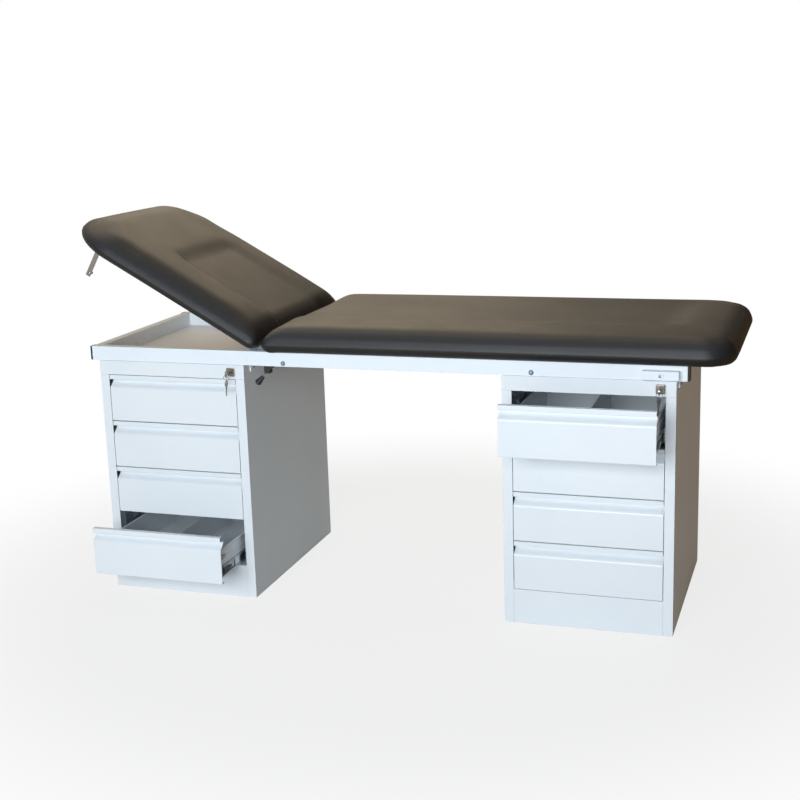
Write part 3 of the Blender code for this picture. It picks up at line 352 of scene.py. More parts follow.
def birchPlywood(name, look):
    material, tree, shader, place = newMaterial(name)
    long = addNode(tree, "Mapping", {}, {"Vector": place, "Scale": look["figureStretch"]})
    figure = addNode(tree, "TexNoise", {},
                     {"Vector": long.outputs["Vector"], "Scale": perMetre(look["figureMm"]),
                      "Detail": 6.0, "Distortion": 0.8})
    spread = addNode(tree, "MapRange", {}, {"Value": figure.outputs["Fac"], "From Min": 0.32, "From Max": 0.68})
    tone = addNode(tree, "Mix", {"data_type": "RGBA"},
                   {0: spread.outputs["Result"], "A": linear(look["colour"]), "B": linear(look["dark"])})
    longer = addNode(tree, "Mapping", {}, {"Vector": place, "Scale": look["poreStretch"]})
    pores = addNode(tree, "TexNoise", {},
                    {"Vector": longer.outputs["Vector"], "Scale": perMetre(look["poreMm"]), "Detail": 3.0})
    pitted = addNode(tree, "MapRange", {}, {"Value": pores.outputs["Fac"], "From Min": 0.56, "From Max": 0.74,
                                            "To Min": 0.0, "To Max": 0.55})
    both = addNode(tree, "Mix", {"data_type": "RGBA"},
                   {0: pitted.outputs["Result"], "A": colourOf(tone), "B": linear(look["pore"])})
    tree.links.new(colourOf(both), shader.inputs["Base Color"])
    bump = addNode(tree, "Bump", {"invert": True},
                   {"Height": pores.outputs["Fac"], "Distance": look["poreDepthMm"] / 1000, "Strength": 0.4})
    tree.links.new(bump.outputs["Normal"], shader.inputs["Normal"])
    shader.inputs["Roughness"].default_value = look["roughness"]
    return material


plywood = birchPlywood("birchPlywood", plyLook)

finishOf = {"white_coat": cabinetCoat, "rail_coat": railCoat, "leatherette": leatherette, "plywood": plywood,
            "zinc": zincSteel, "nickel": nickelPlate, "polished_steel": buffedSteel,
            "black_paint": blackEnamel, "black_plastic": mouldedPlastic}
for subpart in frame["record"]["subparts"]:
    mesh = nodes[subpart["node"]].data
    mesh.materials.clear()
    mesh.materials.append(finishOf[subpart["material_slot"]])


# pads: foam on a board under a stretched cover, with a long sunk panel between soft bolsters
padLook = {"width": 0.665, "draw": 0.003, "crown": 0.004, "panelDepth": 0.010,
           "boardWidth": 0.5976, "boardTop": 0.0124,
           "creaseWidth": 0.006, "creaseFade": 0.05, "pleats": 0.0016, "pleatTurns": 44}
# how the cover is made to swell over the foam
swellLook = {"cell": 0.0075, "small": 0.001, "lowTop": 0.003, "pressure": 2.0, "frames": 18, "quality": 5,
             "most": 0.005, "evenPasses": 40, "hingeFree": 0.07, "boardHold": 0.012, "leastHold": 0.02}
# corners are at the hinge end and the far end, slopes at the panel's front, back and far edges
mainPad = {"start": -0.013, "length": 1.273, "thick": 0.0775, "corners": (0.020, 0.085), "lowerRoll": 0.025,
           "sideRoll": 0.052, "hingeRoll": 0.068, "farRoll": 0.052, "cornerRoll": 0.062,
           "panelStop": 0.170, "panelWidth": 0.264, "slopes": (0.024, 0.135, 0.090),
           "board": (0.0337, 1.2263), "boardTrims": (0.0064, 0.0304), "crease": 0.0020, "front": -1}
headPad = {"start": -0.012, "length": 0.658, "thick": 0.070, "corners": (0.026, 0.150), "lowerRoll": 0.020,
           "sideRoll": 0.072, "hingeRoll": 0.066, "farRoll": 0.082, "cornerRoll": 0.084,
           "panelStop": 0.285, "panelWidth": 0.304, "slopes": (0.020, 0.055, 0.065),
           "board": (0.0337, 0.6093), "boardTrims": (0.0094, 0.0844), "crease": 0.0018, "front": 1}


def eased(share):
    share = min(max(share, 0.0), 1.0)
    return share * share * (3 - 2 * share)


def padCore(u, v, pad):
    # corner radius there, and the nearest point of the rectangle that the corners are turned round
    length, half = pad["length"], padLook["width"] / 2
    corner = pad["corners"][0 if u < length / 2 else 1]
    return corner, Vector((min(max(u, corner), length - corner), min(max(v, corner - half), half - corner)))


def padPlan(u, v, pad):
    # a point of the rectangle, carried into the pad's rounded outline
    core = padCore(u, v, pad)[1]
    away = Vector((u, v)) - core
    if away.x and away.y:
        away *= max(abs(away.x), abs(away.y)) / away.length
    return core + away


def panelShare(u, v, pad):
    # 1 on the panel's flat, 0 on the bolsters round it
    near, far, end = pad["slopes"]
    ending = eased((pad["length"] - pad["panelStop"] - u) / end + 0.5)
    if v * pad["front"] > 0:
        return eased((pad["panelWidth"] / 2 - abs(v)) / near + 0.5) * ending
    ramp = (pad["panelWidth"] / 2 + far - abs(v)) / far
    return (0.7 * min(max(ramp, 0.0), 1.0) + 0.3 * eased(ramp)) * ending


def rolled(depth, radius):
    return math.sqrt(1 - max(0.0, 1 - max(depth, 0.0) / radius) ** 2)


def padHeight(u, v, pad):
    length, width = pad["length"], padLook["width"]
    side, end = pad["sideRoll"], pad["hingeRoll"] if u < length / 2 else pad["farRoll"]
    corner, core = padCore(u, v, pad)
    away = Vector((u, v)) - core
    if away.x and away.y:  # round the corner, from the end's roll to the side's
        depth, share = corner - away.length, (away.y / away.length) ** 2
        if u > length / 2:
            between = (pad["cornerRoll"] - (end + side) / 2) * 4 * share * (1 - share)
            radius = end * (1 - share) + side * share + between
            roll = rolled(depth, min(radius, corner))
        else:
            roll = (rolled(depth, end) * rolled(corner, side) * (1 - share)
                    + rolled(depth, side) * rolled(corner, end) * share)
    else:
        roll = rolled(width / 2 - abs(v), side) * rolled(min(u, length - u), end)
    crown = padLook["crown"] * (1 - (2 * v / width) ** 2)
    # the bolsters start small, because the cover swells over them
    sunk = panelShare(u, v, pad)
    low = padLook["panelDepth"] * sunk + swellLook["lowTop"] * (1 - sunk)
    return pad["lowerRoll"] + (pad["thick"] - padLook["crown"] - pad["lowerRoll"] + crown - low) * roll


def evaluated(piece):
    return bpy.data.meshes.new_from_object(piece.evaluated_get(bpy.context.evaluated_depsgraph_get()))


def padForm(pad):
    # the foam block, closed, with even cells from a voxel remesh
    length, half, cell, small = pad["length"], padLook["width"] / 2, swellLook["cell"], swellLook["small"]
    rows, columns = round(length / cell), 2 * round(half / cell)
    bm = bmesh.new()
    grid = []
    for i in range(rows + 1):
        grid.append([])
        for j in range(columns + 1):
            u, v = padPlan(length * i / rows, half * (2 * j / columns - 1), pad)
            height = padHeight(u, v, pad)
            # the long sides draw in a little between the corners, and the block is small all round
            draw = 1 - (small + padLook["draw"] * 4 * u * (length - u) / length ** 2) / half
            u = small + u * (length - 2 * small) / length
            grid[i].append(bm.verts.new((u, v * draw, height)))
    for i in range(rows):
        for j in range(columns):
            bm.faces.new((grid[i][j], grid[i + 1][j], grid[i + 1][j + 1], grid[i][j + 1]))
    loop = [(i, 0) for i in range(rows)] + [(rows, j) for j in range(columns)]
    loop += [(i, columns) for i in range(rows, 0, -1)] + [(0, j) for j in range(columns, 0, -1)]
    ring = [grid[i][j] for i, j in loop]
    below = [bm.verts.new((vert.co.x, vert.co.y, 0.0)) for vert in ring]
    for at in range(len(ring)):
        after = (at + 1) % len(ring)
        bm.faces.new((ring[at], ring[after], below[after], below[at]))
    bm.faces.new(below)
    form = newPiece("padForm", bm, [])
    remesh = form.modifiers.new("evenCells", "REMESH")
    remesh.mode = "VOXEL"
    remesh.voxel_size = cell
    mesh = evaluated(form)
    form.modifiers.clear()
    form.data = mesh
    return form


def swellCover(form, pad):
    # the cover is held round the board and in the panel, and the foam presses it out everywhere else
    held = form.vertex_groups.new(name="held")
    lower = pad["lowerRoll"]
    for vert in form.data.vertices:
        u, v, z = vert.co
        if z > lower:
            share = panelShare(u, v, pad) * eased(u / swellLook["hingeFree"] - 0.3)
        else:
            share = eased((swellLook["boardHold"] - z) / swellLook["boardHold"] + 0.5)
        if share > swellLook["leastHold"]:
            held.add([vert.index], share, "REPLACE")
    cover = form.modifiers.new("cover", "CLOTH")
    cover.settings.vertex_group_mass = "held"
    cover.settings.quality = swellLook["quality"]
    cover.settings.use_pressure = True
    cover.settings.uniform_pressure_force = swellLook["pressure"]
    cover.settings.effector_weights.gravity = 0
    cover.collision_settings.use_collision = False
    cover.point_cache.frame_start, cover.point_cache.frame_end = 1, swellLook["frames"]
    for at in range(1, swellLook["frames"] + 1):
        bpy.context.scene.frame_set(at)
    swollen = evaluated(form)
    form.modifiers.clear()
    bpy.context.scene.frame_set(1)
    # the move is limited and evened out, because a foam-backed cover stays smooth
    count = len(swollen.vertices)
    before, after = numpy.empty(count * 3), numpy.empty(count * 3)
    form.data.vertices.foreach_get("co", before)
    swollen.vertices.foreach_get("co", after)
    move = (after - before).reshape(count, 3)
    reach = numpy.maximum(numpy.linalg.norm(move, axis=1), 1e-9)
    move *= numpy.minimum(1.0, swellLook["most"] / reach)[:, None]
    ends = numpy.empty(len(form.data.edges) * 2, dtype=numpy.int64)
    form.data.edges.foreach_get("vertices", ends)
    first, second = ends[0::2], ends[1::2]
    around = numpy.bincount(ends, minlength=count)[:, None]
    for _ in range(swellLook["evenPasses"]):
        total = numpy.zeros_like(move)
        numpy.add.at(total, first, move[second])
        numpy.add.at(total, second, move[first])
        move = (move + total / around) / 2
    form.data.vertices.foreach_set("co", before + move.reshape(-1))
    form.data.update()


def makeCushion(name, pad, matrix):
    form = padForm(pad)
    swellCover(form, pad)
    finer = form.modifiers.new("finer", "SUBSURF")
    finer.levels = 1
    mesh = evaluated(form)
    bpy.data.objects.remove(form)
    bm = bmesh.new()
    bm.from_mesh(mesh)
    # cut at the widest line; what lies below it is turned under the board
    lower, length = pad["lowerRoll"], pad["length"]
    bmesh.ops.bisect_plane(bm, geom=bm.verts[:] + bm.edges[:] + bm.faces[:], plane_co=(0, 0, lower),
                           plane_no=(0, 0, 1), clear_inner=True, dist=1e-6)
    # the cover is drawn down in a thin line at the panel's front edge
    foot = pad["panelWidth"] / 2 - pad["slopes"][0] / 2
    for vert in bm.verts:
        u, v, z = vert.co
        if v * pad["front"] > 0 and z > pad["thick"] * 0.6:
            line = max(0.0, 1 - abs(abs(v) - foot) / padLook["creaseWidth"])
            fade = eased((length - pad["panelStop"] - u) / padLook["creaseFade"] + 0.5)
            vert.co.z -= pad["crease"] * eased(line) * fade
    # rim in order round the pad
    ring = [next(edge for edge in bm.edges if edge.is_boundary).verts[0]]
    while True:
        onward = [edge.other_vert(ring[-1]) for edge in ring[-1].link_edges if edge.is_boundary]
        onward = [vert for vert in onward if len(ring) < 2 or vert is not ring[-2]]
        if onward[0] is ring[0]:
            break
        ring.append(onward[0])
    outer = [vert.co.copy() for vert in ring]
    boardStart, boardEnd = [at - pad["start"] for at in pad["board"]]
    boardHalf = padLook["boardWidth"] / 2
    inner, pull = [], []
    for point in outer:
        trim = pad["boardTrims"][0 if point.x < length / 2 else 1]  # the board's corners are cut off
        core = Vector((min(max(point.x, boardStart + trim), boardEnd - trim),
                       min(max(point.y, trim - boardHalf), boardHalf - trim), lower))
        outwards = (point - core).normalized()
        inner.append(core + outwards * trim / (abs(outwards.x) + abs(outwards.y)))
        # gathered folds under the rounded corners, where the cover is pleated and stapled
        turned = abs(outwards.x * outwards.y) * 2
        bearing = math.atan2(abs(outwards.y), abs(outwards.x))
        pull.append(turned * (1 + math.sin(bearing * padLook["pleatTurns"])) * padLook["pleats"])
    turns = []
    for angle in range(10, 100, 10):
        across, down = math.cos(math.radians(angle)), math.sin(math.radians(angle))
        turns.append((lower * (1 - across), lower * (1 - down), down))
    # the roll, the flat under the pad, and the pocket's wall up to the board's top
    for depth, z, share in turns + [(None, 0.0, 0), (None, padLook["boardTop"], 0)]:
        below = []
        for point, end, fold in zip(outer, inner, pull):
            spot = end if depth is None else point + (end - point).normalized() * (depth + fold * share)
            below.append(bm.verts.new((spot.x, spot.y, z)))
        for at in range(len(ring)):
            after = (at + 1) % len(ring)
            bm.faces.new((ring[at], ring[after], below[after], below[at]))
        ring = below
    bm.faces.new(ring)
    bmesh.ops.transform(bm, matrix=matrix @ Matrix.Translation((pad["start"], 0, 0)), verts=bm.verts[:])
    return newPiece(name, bm, [leatherette], smooth=60)


mainLow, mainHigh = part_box("main_pad")
mainSpot = Matrix.Translation((mainLow.x, (mainLow.y + mainHigh.y) / 2, mainLow.z))
mainCushion = makeCushion("mainCushion", mainPad, mainSpot)
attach(mainCushion, "root")
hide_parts("main_pad")

headJoint = joints["head_tilt"]
headTilt = {"degrees": 29.6, "gap": 0.012}  # as the head section stands at rest
headSpot = (Matrix.Translation(headJoint["pos_m"]) @ Matrix.Rotation(math.radians(headTilt["degrees"]), 4, "Y")
            @ Matrix.Translation((-headTilt["gap"], 0, 0)) @ Matrix.Rotation(math.pi, 4, "Z"))
headCushion = makeCushion("headCushion", headPad, headSpot)
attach(headCushion, "head_section")
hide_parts("head_pad")
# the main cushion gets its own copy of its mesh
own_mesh(mainCushion)
print("cushions made")


# drawer boxes of folded sheet, on telescopic ball runners
# sizes are from the front left bottom corner of the drawer's space
drawerLook = {"barSide": 0.035, "left": 0.040, "right": 0.410, "front": 0.0018, "back": 0.522,
              "floor": 0.010, "top": 0.0895, "sheet": 0.0015, "bead": 0.003, "inset": 0.002,
              "pressed": 0.024, "pressedRound": 0.0016, "dividerFoot": 0.012, "footInset": 0.004,
              "window": (0.0318, 0.0538, 0.0618, 0.0738)}
runnerLook = {"space": 0.450, "wall": 0.0399, "outside": 0.0352, "low": 0.014, "high": 0.044,
              "gauge": 0.0011, "lip": 0.0045, "bend": 0.0012, "start": 0.030, "end": 0.490,
              "cageEnds": (0.078, 0.030), "cageAcross": (0.0016, 0.0023), "cageInset": 0.005,
              "ball": 0.0016, "ballPitch": 0.014, "ballAcross": 0.0026,
              "stopStart": 0.003, "stopInset": 0.0052, "stopEase": 0.0002, "rivetAt": 0.24,
              "rivet": ((0.0, 0.0012), (0.002, 0.0011), (0.0034, 0.0006), (0.0038, -0.0002), (0.0, -0.0002))}
catchLook = {"across": (0.4102, 0.4116), "screwAt": (0.4116, 0.011, 0.0655),
             "plate": ((0.004, 0.050), (0.018, 0.050), (0.030, 0.0595), (0.051, 0.0635), (0.052, 0.0725),
                       (0.036, 0.0715), (0.027, 0.0665), (0.025, 0.0715), (0.030, 0.081), (0.004, 0.081)),
             "screw": ((0.0, 0.0014), (0.0018, 0.0013), (0.0034, 0.0007), (0.0036, -0.0003), (0.0, -0.0003))}


def makeDrawerBox():
    bm = bmesh.new()
    look, sheet, inset = drawerLook, drawerLook["sheet"], drawerLook["inset"]
    left, right, front, back = look["left"], look["right"], look["front"], look["back"]
    floor, top = look["floor"], look["top"]
    addBlock(bm, (left + sheet, front + sheet, floor), (right - sheet, back - sheet, floor + sheet))
    addBlock(bm, (left, front, floor), (left + sheet, back, top))
    windowStart, windowEnd, windowLow, windowHigh = look["window"]
    addBlock(bm, (right - sheet, front, floor), (right, windowStart, top))
    addBlock(bm, (right - sheet, windowEnd, floor), (right, back, top))
    addBlock(bm, (right - sheet, windowStart, floor), (right, windowEnd, windowLow))
    addBlock(bm, (right - sheet, windowStart, windowHigh), (right, windowEnd, top))
    for start in (front, back - sheet):
        addBlock(bm, (left + sheet, start, floor), (right - sheet, start + sheet, top))
    middle = (left + right) / 2
    addBlock(bm, (middle - sheet / 2, front + sheet, floor + sheet),
             (middle + sheet / 2, back - sheet, top - inset))
    # the divider's foot is folded flat on the floor and spot welded
    addBlock(bm, (middle + sheet / 2, front + look["footInset"], floor + sheet),
             (middle + look["dividerFoot"], back - look["footInset"], floor + 2 * sheet))
    # beaded rims, and a line pressed outwards below them
    for x, outwards in ((left + sheet / 2, -1), (right - sheet / 2, 1)):
        addSlab(bm, roundPoints((x, top), look["bead"], 14), "Y", front, back)
        ridge = (x + outwards * sheet * 0.4, top - look["pressed"])
        addSlab(bm, roundPoints(ridge, look["pressedRound"], 10), "Y", front + inset, back - inset)
    # rounded seams at the back
    for x in (left + sheet / 2, right - sheet / 2, middle):
        addSlab(bm, roundPoints((x, back), look["bead"] * 0.5, 8), "Z", floor, top - look["bead"])
    return newPiece("drawerBox", bm, [cabinetCoat], smooth=40)


def makeRunners():
    bm = bmesh.new()
    look = runnerLook
    wall, outside, low, high = look["wall"], look["outside"], look["low"], look["high"]
    gauge, lip, bend = look["gauge"], look["lip"], look["bend"]
    for side in (0, 1):
        def across(x):
            return look["space"] - x if side else x
        channel = [(wall, high), (outside + bend, high), (outside, high - bend), (outside, high - lip),
                   (outside + gauge, high - lip), (outside + gauge, high - gauge), (wall - gauge, high - gauge),
                   (wall - gauge, low + gauge), (outside + gauge, low + gauge), (outside + gauge, low + lip),
                   (outside, low + lip), (outside, low + bend), (outside + bend, low), (wall, low)]
        addSlab(bm, [(across(x), z) for x, z in channel], "Y", look["start"], look["end"], 0)
        # ball cage with its balls above and below
        cageStart, cageEnd = look["start"] + look["cageEnds"][0], look["end"] - look["cageEnds"][1]
        cage = sorted(across(outside + x) for x in look["cageAcross"])
        addBlock(bm, (cage[0], cageStart, low + look["cageInset"]),
                 (cage[1], cageEnd, high - look["cageInset"]), 1)
        at = cageStart + look["ballPitch"] / 2
        while at < cageEnd:
            for z in (low + gauge + look["ball"], high - gauge - look["ball"]):
                spot = Matrix.Translation((across(outside + look["ballAcross"]), at, z))
                made = bmesh.ops.create_icosphere(bm, subdivisions=1, radius=look["ball"], matrix=spot)
                paintFaces(made["verts"], 1)
            at += look["ballPitch"]
        # black end stop and its release tongue at the front end
        stop = sorted((across(outside + look["stopEase"]), across(wall - gauge - look["stopEase"])))
        stopLow, stopHigh = low + look["stopInset"], high - look["stopInset"]
        tongue = [(0.0, stopLow), (0.022, stopLow), (0.026, low + 0.010), (0.050, low + 0.0125),
                  (0.052, low + 0.0165), (0.027, low + 0.0195), (0.022, stopHigh), (0.0, stopHigh)]
        begin = look["start"] + look["stopStart"]
        addSlab(bm, [(begin + y, z) for y, z in tongue], "X", stop[0], stop[1], 2)
        rivet = (Matrix.Translation((across(wall - gauge), look["rivetAt"], (low + high) / 2))
                 @ Matrix.Rotation(math.pi / 2 * (1 if side else -1), 4, "Y"))
        addTurned(bm, look["rivet"], rivet, 16, 1)
    return newPiece("drawerRunners", bm, [zincSteel, buffedSteel, mouldedPlastic], smooth=40)


def makeCatch():
    # hooked plate of the front, through the window in the drawer's right side
    bm = bmesh.new()
    addSlab(bm, catchLook["plate"], "X", *catchLook["across"])
    screw = Matrix.Translation(catchLook["screwAt"]) @ Matrix.Rotation(math.pi / 2, 4, "Y")
    addTurned(bm, catchLook["screw"], screw, 16, 1)
    return newPiece("frontCatch", bm, [nickelPlate, zincSteel], smooth=40)


drawerParts = {"Box": (makeDrawerBox(), "white_coat"),
               "Runners": (makeRunners(), "zinc"),
               "Catch": (makeCatch(), "nickel")}
for cabinet in ("head_cabinet", "foot_cabinet"):
    for number in range(1, 5):
        body = f"{cabinet}_drawer_{number}"
        inward = Vector((drawerLook["barSide"], drawerLook["front"], drawerLook["floor"]))
        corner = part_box(body + "_box")[0] - inward
        label = cabinet.split("_")[0] + "Drawer" + str(number)
        for part, (pattern, slot) in drawerParts.items():
            piece = bpy.data.objects.new(label + part, pattern.data)
            bpy.context.scene.collection.objects.link(piece)
            piece.location = corner
            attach(piece, body)
            if part == "Box":
                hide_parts(body + "_box")
for pattern, _ in drawerParts.values():
    bpy.data.objects.remove(pattern)
print("drawer boxes, runners and catches made")


# split ring and spare key on each lock's key; sizes are from the hole in that key's bow
keyLook = {"hole": 0.0024, "bow": 0.0100, "neck": 0.0055, "blade": 0.026, "thick": 0.0020,
           "taper": (0.72, 0.16), "tallBow": 1.15,
           "shoulder": 0.0042, "blank": 0.0034, "tip": (-0.0012, 0.0006),
           "teeth": (0.0020, 0.0012, 0.0026, 0.0016, 0.0024, 0.0010, 0.0022, 0.0034), "toothTop": 0.0011,
           "groove": (-0.0022, -0.0012), "ribHalf": 0.0045, "ribStart": 0.0035, "ribPitch": 0.0009,
           "lockBow": 0.0105, "hang": 0.0020, "ring": 0.0083, "wire": 0.0006, "ringPoints": 80}
keyHang = {"head": {"turn": 4, "lean": 2, "bow": "round"}, "foot": {"turn": 38, "lean": 11, "bow": "tapered"}}


def addKey(bm, look, shape):
    # hole at the origin, blade down -Z, flat in Y and Z
    half, sides = look["thick"] / 2, 36
    centre = -look["neck"]
    outer = []
    for i in range(sides):
        angle = 2 * math.pi * i / sides
        y, z = look["bow"] * math.sin(angle), look["bow"] * math.cos(angle)
        if shape == "tapered":
            y *= look["taper"][0] + look["taper"][1] * math.cos(angle)
            z = max(z, -look["bow"] * 0.9) * look["tallBow"]
        outer.append((y, centre + z))
    inner = [(y, z) for z, y in roundPoints((0, 0), look["hole"], sides)]
    loops = [[bm.verts.new((x, y, z)) for y, z in points] for x in (-half, half) for points in (outer, inner)]
    for i in range(sides):
        j = (i + 1) % sides
        for a, b in ((0, 1), (3, 2), (2, 0), (1, 3)):
            bm.faces.new((loops[a][i], loops[a][j], loops[b][j], loops[b][i]))
    top = centre - look["bow"] * 0.86
    end = top - look["blade"]
    shoulder, blank, tip = look["shoulder"], look["blank"], look["tip"]
    blade = [(-shoulder, top), (-shoulder, top - 0.004), (-blank, top - 0.006), (-blank, end + 0.003),
             (tip[0], end), (tip[1], end)]
    for at, depth in enumerate(look["teeth"]):
        low = end + 0.002 + at * (look["blade"] - 0.009) / len(look["teeth"])
        blade += [(depth, low), (depth, low + look["toothTop"])]
    blade += [(blank, top - 0.006), (shoulder, top - 0.004), (shoulder, top)]
    addSlab(bm, blade, "X", -half * 0.9, half * 0.9)
    # milled ridge along the blade, and grip ribs on the bow
    for x in (-half * 0.9, half * 0.9):
        addBlock(bm, (x - 0.0002, look["groove"][0], end + 0.004), (x + 0.0002, look["groove"][1], top))
        for rib in range(6 if shape == "tapered" else 3):
            z = centre - look["ribStart"] - rib * look["ribPitch"]
            addBlock(bm, (x - 0.0003, -look["ribHalf"], z - 0.0002), (x + 0.0003, look["ribHalf"], z + 0.0002))


for cabinet, hang in keyHang.items():
    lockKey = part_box(cabinet + "_cabinet_key")[0]
    lock = Vector(joints[cabinet + "_cabinet_key_turn"]["pos_m"])
    hole = Vector((lock.x, lockKey.y + keyLook["lockBow"] / 2, lock.z))
    turn = Matrix.Rotation(math.radians(hang["turn"]), 4, "Z")
    bm = bmesh.new()
    radius, coils = keyLook["ring"], keyLook["ringPoints"]
    middle = hole + Vector((0, 0, -keyLook["hang"] - radius))
    ring = []
    for i in range(coils):
        angle = 4 * math.pi * i / coils
        offset = keyLook["wire"] * (i / coils * 2 - 1)
        ring.append(middle + turn @ Vector((radius * math.sin(angle), offset, radius * math.cos(angle))))
    addWire(bm, ring, keyLook["wire"], 8)
    keyRing = newPiece(cabinet + "KeyRing", bm, [buffedSteel], smooth=50)
    bm = bmesh.new()
    addKey(bm, keyLook, hang["bow"])
    spot = middle + Vector((0, 0, -radius - keyLook["hole"] + keyLook["wire"]))
    lean = math.radians(hang["lean"])
    place = (Matrix.Translation(spot) @ turn @ Matrix.Rotation(lean, 4, "Y")
             @ Matrix.Rotation(-lean, 4, "X"))
    bmesh.ops.transform(bm, matrix=place, verts=bm.verts[:])
    spareKey = newPiece(cabinet + "SpareKey", bm, [nickelPlate], smooth=35)
    for piece, slot in ((keyRing, "polished_steel"), (spareKey, "nickel")):
        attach(piece, cabinet + "_cabinet_key_plug")
print("key rings and spare keys hung")


# pan head screws through the frame's brackets into the cabinet sides
screwLook = {"radius": 0.0046, "height": 0.0026, "cabinetTop": 0.683, "drop": 0.016, "bracket": 0.0043,
             "along": (0.058, 0.092)}


def addCrossScrew(bm, matrix, look):
    radius, height = look["radius"], look["height"]
    dome = [(0.0, height), (radius * 0.45, height * 0.96), (radius * 0.78, height * 0.72),
            (radius * 0.96, height * 0.3), (radius, 0.0), (0.0, 0.0)]
    addTurned(bm, dome, matrix, 20, 0)
    # the driver's cross: dark plastic blocks that paint the shade of its deep recess
    for turned in (0, math.pi / 2):
        bar = (matrix @ Matrix.Rotation(turned, 4, "Z") @ Matrix.Translation((0, 0, height * 0.86))
               @ Matrix.Diagonal((radius, radius * 0.2, height * 0.34, 1.0)))
        paintFaces(bmesh.ops.create_cube(bm, size=1.0, matrix=bar)["verts"], 1)


for cabinet in ("head", "foot"):
    low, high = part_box(cabinet + "_cabinet_shell")
    for side, x, outwards in (("Left", low.x, -1), ("Right", high.x, 1)):
        bm = bmesh.new()
        facing = Matrix.Rotation(outwards * math.pi / 2, 4, "Y")
        for along in screwLook["along"]:
            for y in (low.y + along, high.y - along):
                spot = Vector((x + outwards * screwLook["bracket"], y,
                               screwLook["cabinetTop"] - screwLook["drop"]))
                addCrossScrew(bm, Matrix.Translation(spot) @ facing, screwLook)
        # the moulded plastic on these screws is only painted shade in their crosses
        screws = newPiece(cabinet + side + "BracketScrews", bm, [zincSteel, mouldedPlastic], smooth=35)
        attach(screws, "root")
print("bracket screws set")


# floor, world and lamps
stageLook = {"floor": "#c9c9c7", "floorReach": 30.0, "floorDrop": 0.0005,
             "shadowShare": 0.20, "shadowReach": (0.9, 1.9),
             "mirroredHead": "#bab5ac", "mirroredFoot": "#7d6644", "mirroredReach": (-0.4, 0.9),
             "world": "#eaf1f8", "worldStrength": 0.10,
             "behind": "#ffeed2", "aside": "#5c4c3c", "asideReach": (-0.45, 0.40),
             "inFront": "#8794a4", "frontReach": (-0.5, 0.5),
             "wallStrength": (0.80, 0.55), "wallReach": (0.08, 0.34),
             "ceilingStrength": 2.5, "ceilingReach": (0.45, 0.85)}


def seenDirectly(tree):
    seen = addNode(tree, "LightPath")
    direct = addNode(tree, "Math", {"operation": "MAXIMUM"},
                     {0: seen.outputs["Is Glossy Ray"], 1: seen.outputs["Is Transmission Ray"]})
    either = addNode(tree, "Math", {"operation": "MAXIMUM"},
                     {0: direct.outputs[0], 1: seen.outputs["Is Camera Ray"]})
    return either.outputs[0], direct.outputs[0]


bm = bmesh.new()
bmesh.ops.create_grid(bm, x_segments=2, y_segments=2, size=stageLook["floorReach"])
floorMaterial = bpy.data.materials.new("paleFloor")
floorMaterial.use_nodes = True
tree = floorMaterial.node_tree
tree.nodes.clear()
either, mirrored = seenDirectly(tree)
paint = addNode(tree, "BsdfDiffuse", {}, {"Color": linear(stageLook["floor"])})
# what shines on the couch from it is greyer by the head end and browner by the foot end
floorPlace = addNode(tree, "TexCoord").outputs["Object"]
along = addNode(tree, "SeparateXYZ", {}, {0: floorPlace})
start, end = stageLook["mirroredReach"]
share = addNode(tree, "MapRange", {"interpolation_type": "SMOOTHSTEP"},
                {"Value": along.outputs["X"], "From Min": start, "From Max": end})
tint = addNode(tree, "Mix", {"data_type": "RGBA"},
               {0: share.outputs["Result"], "A": linear(stageLook["mirroredHead"]),
                "B": linear(stageLook["mirroredFoot"])})
shine = addNode(tree, "Mix", {"data_type": "RGBA"}, {0: mirrored, "A": (1, 1, 1, 1), "B": colourOf(tint)})
glow = addNode(tree, "Emission", {}, {"Color": colourOf(shine), "Strength": 1.0})
# the shadow shows close to the couch, and the floor is plain white further out
apart = addNode(tree, "VectorMath", {"operation": "LENGTH"}, {0: floorPlace})
near, far = stageLook["shadowReach"]
bare = addNode(tree, "MapRange", {"interpolation_type": "SMOOTHSTEP"},
               {"Value": apart.outputs["Value"], "From Min": near, "From Max": far,
                "To Min": 1 - stageLook["shadowShare"], "To Max": 1.0})
part = addNode(tree, "Math", {"operation": "MULTIPLY"}, {0: either, 1: bare.outputs["Result"]})
mix = addNode(tree, "MixShader", {},
              {0: part.outputs[0], 1: paint.outputs["BSDF"], 2: glow.outputs["Emission"]})
addNode(tree, "OutputMaterial", {}, {"Surface": mix.outputs["Shader"]})
floor = newPiece("floor", bm, [floorMaterial])
floor.location.z = -stageLook["floorDrop"]

world = bpy.data.worlds.new("studio")
bpy.context.scene.world = world
world.use_nodes = True
tree = world.node_tree
tree.nodes.clear()
either, mirrored = seenDirectly(tree)
dim = addNode(tree, "Background", {},
              {"Color": linear(stageLook["world"]), "Strength": stageLook["worldStrength"]})
# reflections show a warm pale wall behind the couch, a dim one past its foot, cooler light in front of it
facing = addNode(tree, "SeparateXYZ", {}, {0: addNode(tree, "TexCoord").outputs["Generated"]})
start, end = stageLook["asideReach"]
past = addNode(tree, "MapRange", {"interpolation_type": "SMOOTHSTEP"},
               {"Value": facing.outputs["X"], "From Min": start, "From Max": end})
walls = addNode(tree, "Mix", {"data_type": "RGBA"},
                {0: past.outputs["Result"], "A": linear(stageLook["behind"]), "B": linear(stageLook["aside"])})
start, end = stageLook["frontReach"]
turn = addNode(tree, "MapRange", {"interpolation_type": "SMOOTHSTEP"},
               {"Value": facing.outputs["Y"], "From Min": start, "From Max": end})
room = addNode(tree, "Mix", {"data_type": "RGBA"},
               {0: turn.outputs["Result"], "A": linear(stageLook["inFront"]), "B": colourOf(walls)})
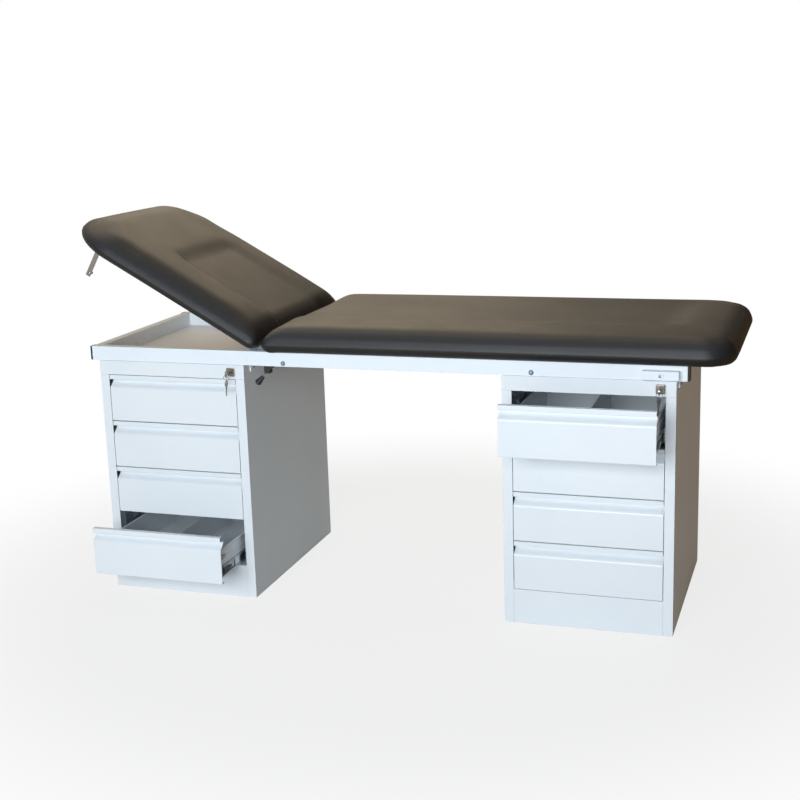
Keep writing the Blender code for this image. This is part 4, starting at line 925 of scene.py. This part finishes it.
# the walls dim a little higher up, and the ceiling is bright
low, high = stageLook["wallStrength"]
start, end = stageLook["wallReach"]
risen = addNode(tree, "MapRange", {"interpolation_type": "SMOOTHSTEP"},
                {"Value": facing.outputs["Z"], "From Min": start, "From Max": end, "To Min": low, "To Max": high})
start, end = stageLook["ceilingReach"]
above = addNode(tree, "MapRange", {"interpolation_type": "SMOOTHSTEP"},
                {"Value": facing.outputs["Z"], "From Min": start, "From Max": end,
                 "To Max": stageLook["ceilingStrength"] - high})
height = addNode(tree, "Math", {"operation": "ADD"}, {0: risen.outputs["Result"], 1: above.outputs["Result"]})
wall = addNode(tree, "Background", {}, {"Color": colourOf(room), "Strength": height.outputs["Value"]})
white = addNode(tree, "Background", {}, {"Color": (1, 1, 1, 1), "Strength": 1.0})
shown = addNode(tree, "MixShader", {},
                {0: mirrored, 1: white.outputs["Background"], 2: wall.outputs["Background"]})
mix = addNode(tree, "MixShader", {}, {0: either, 1: dim.outputs["Background"], 2: shown.outputs["Shader"]})
addNode(tree, "OutputWorld", {}, {"Surface": mix.outputs["Shader"]})

# the fill lamps light the sides that the photograph doesn't show, and reflections leave them out
lampLooks = {
    "keyLamp": {"at": (0.1, -5.2, 1.8), "aim": (0.1, 0.0, 0.4), "size": (3.0, 2.0),
                "watts": 256, "colour": "#f3f9ff", "fill": False},
    "backLamp": {"at": (-1.3, 2.5, 2.6), "aim": (-0.6, 0.1, 0.9), "size": (2.0, 1.4),
                 "watts": 17, "colour": "#ffeacb", "fill": False},
    "footLamp": {"at": (2.7, 0.25, 0.55), "aim": (0.9, 0.1, 0.35), "size": (0.8, 0.8),
                 "watts": 3, "colour": "#ffcf98", "fill": True},
    "behindLamp": {"at": (-0.6, 4.4, 0.40), "aim": (0.0, 0.3, 0.4), "size": (1.0, 0.5),
                   "watts": 80, "colour": "#fff6ea", "fill": True},
    "headLamp": {"at": (-4.2, 0.3, 0.35), "aim": (-0.9, 0.1, 0.4), "size": (1.6, 0.4),
                 "watts": 32, "colour": "#fff6ea", "fill": True},
}
for name, look in lampLooks.items():
    lamp = bpy.data.lights.new(name, "AREA")
    lamp.shape = "RECTANGLE"
    lamp.size, lamp.size_y = look["size"]
    lamp.energy = look["watts"]
    lamp.color = linear(look["colour"])[:3]
    holder = bpy.data.objects.new(name, lamp)
    bpy.context.scene.collection.objects.link(holder)
    holder.location = look["at"]
    holder.rotation_euler = (Vector(look["aim"]) - Vector(look["at"])).to_track_quat("-Z", "Y").to_euler()
    holder.visible_glossy = not look["fill"]
print("stage and lamps set")
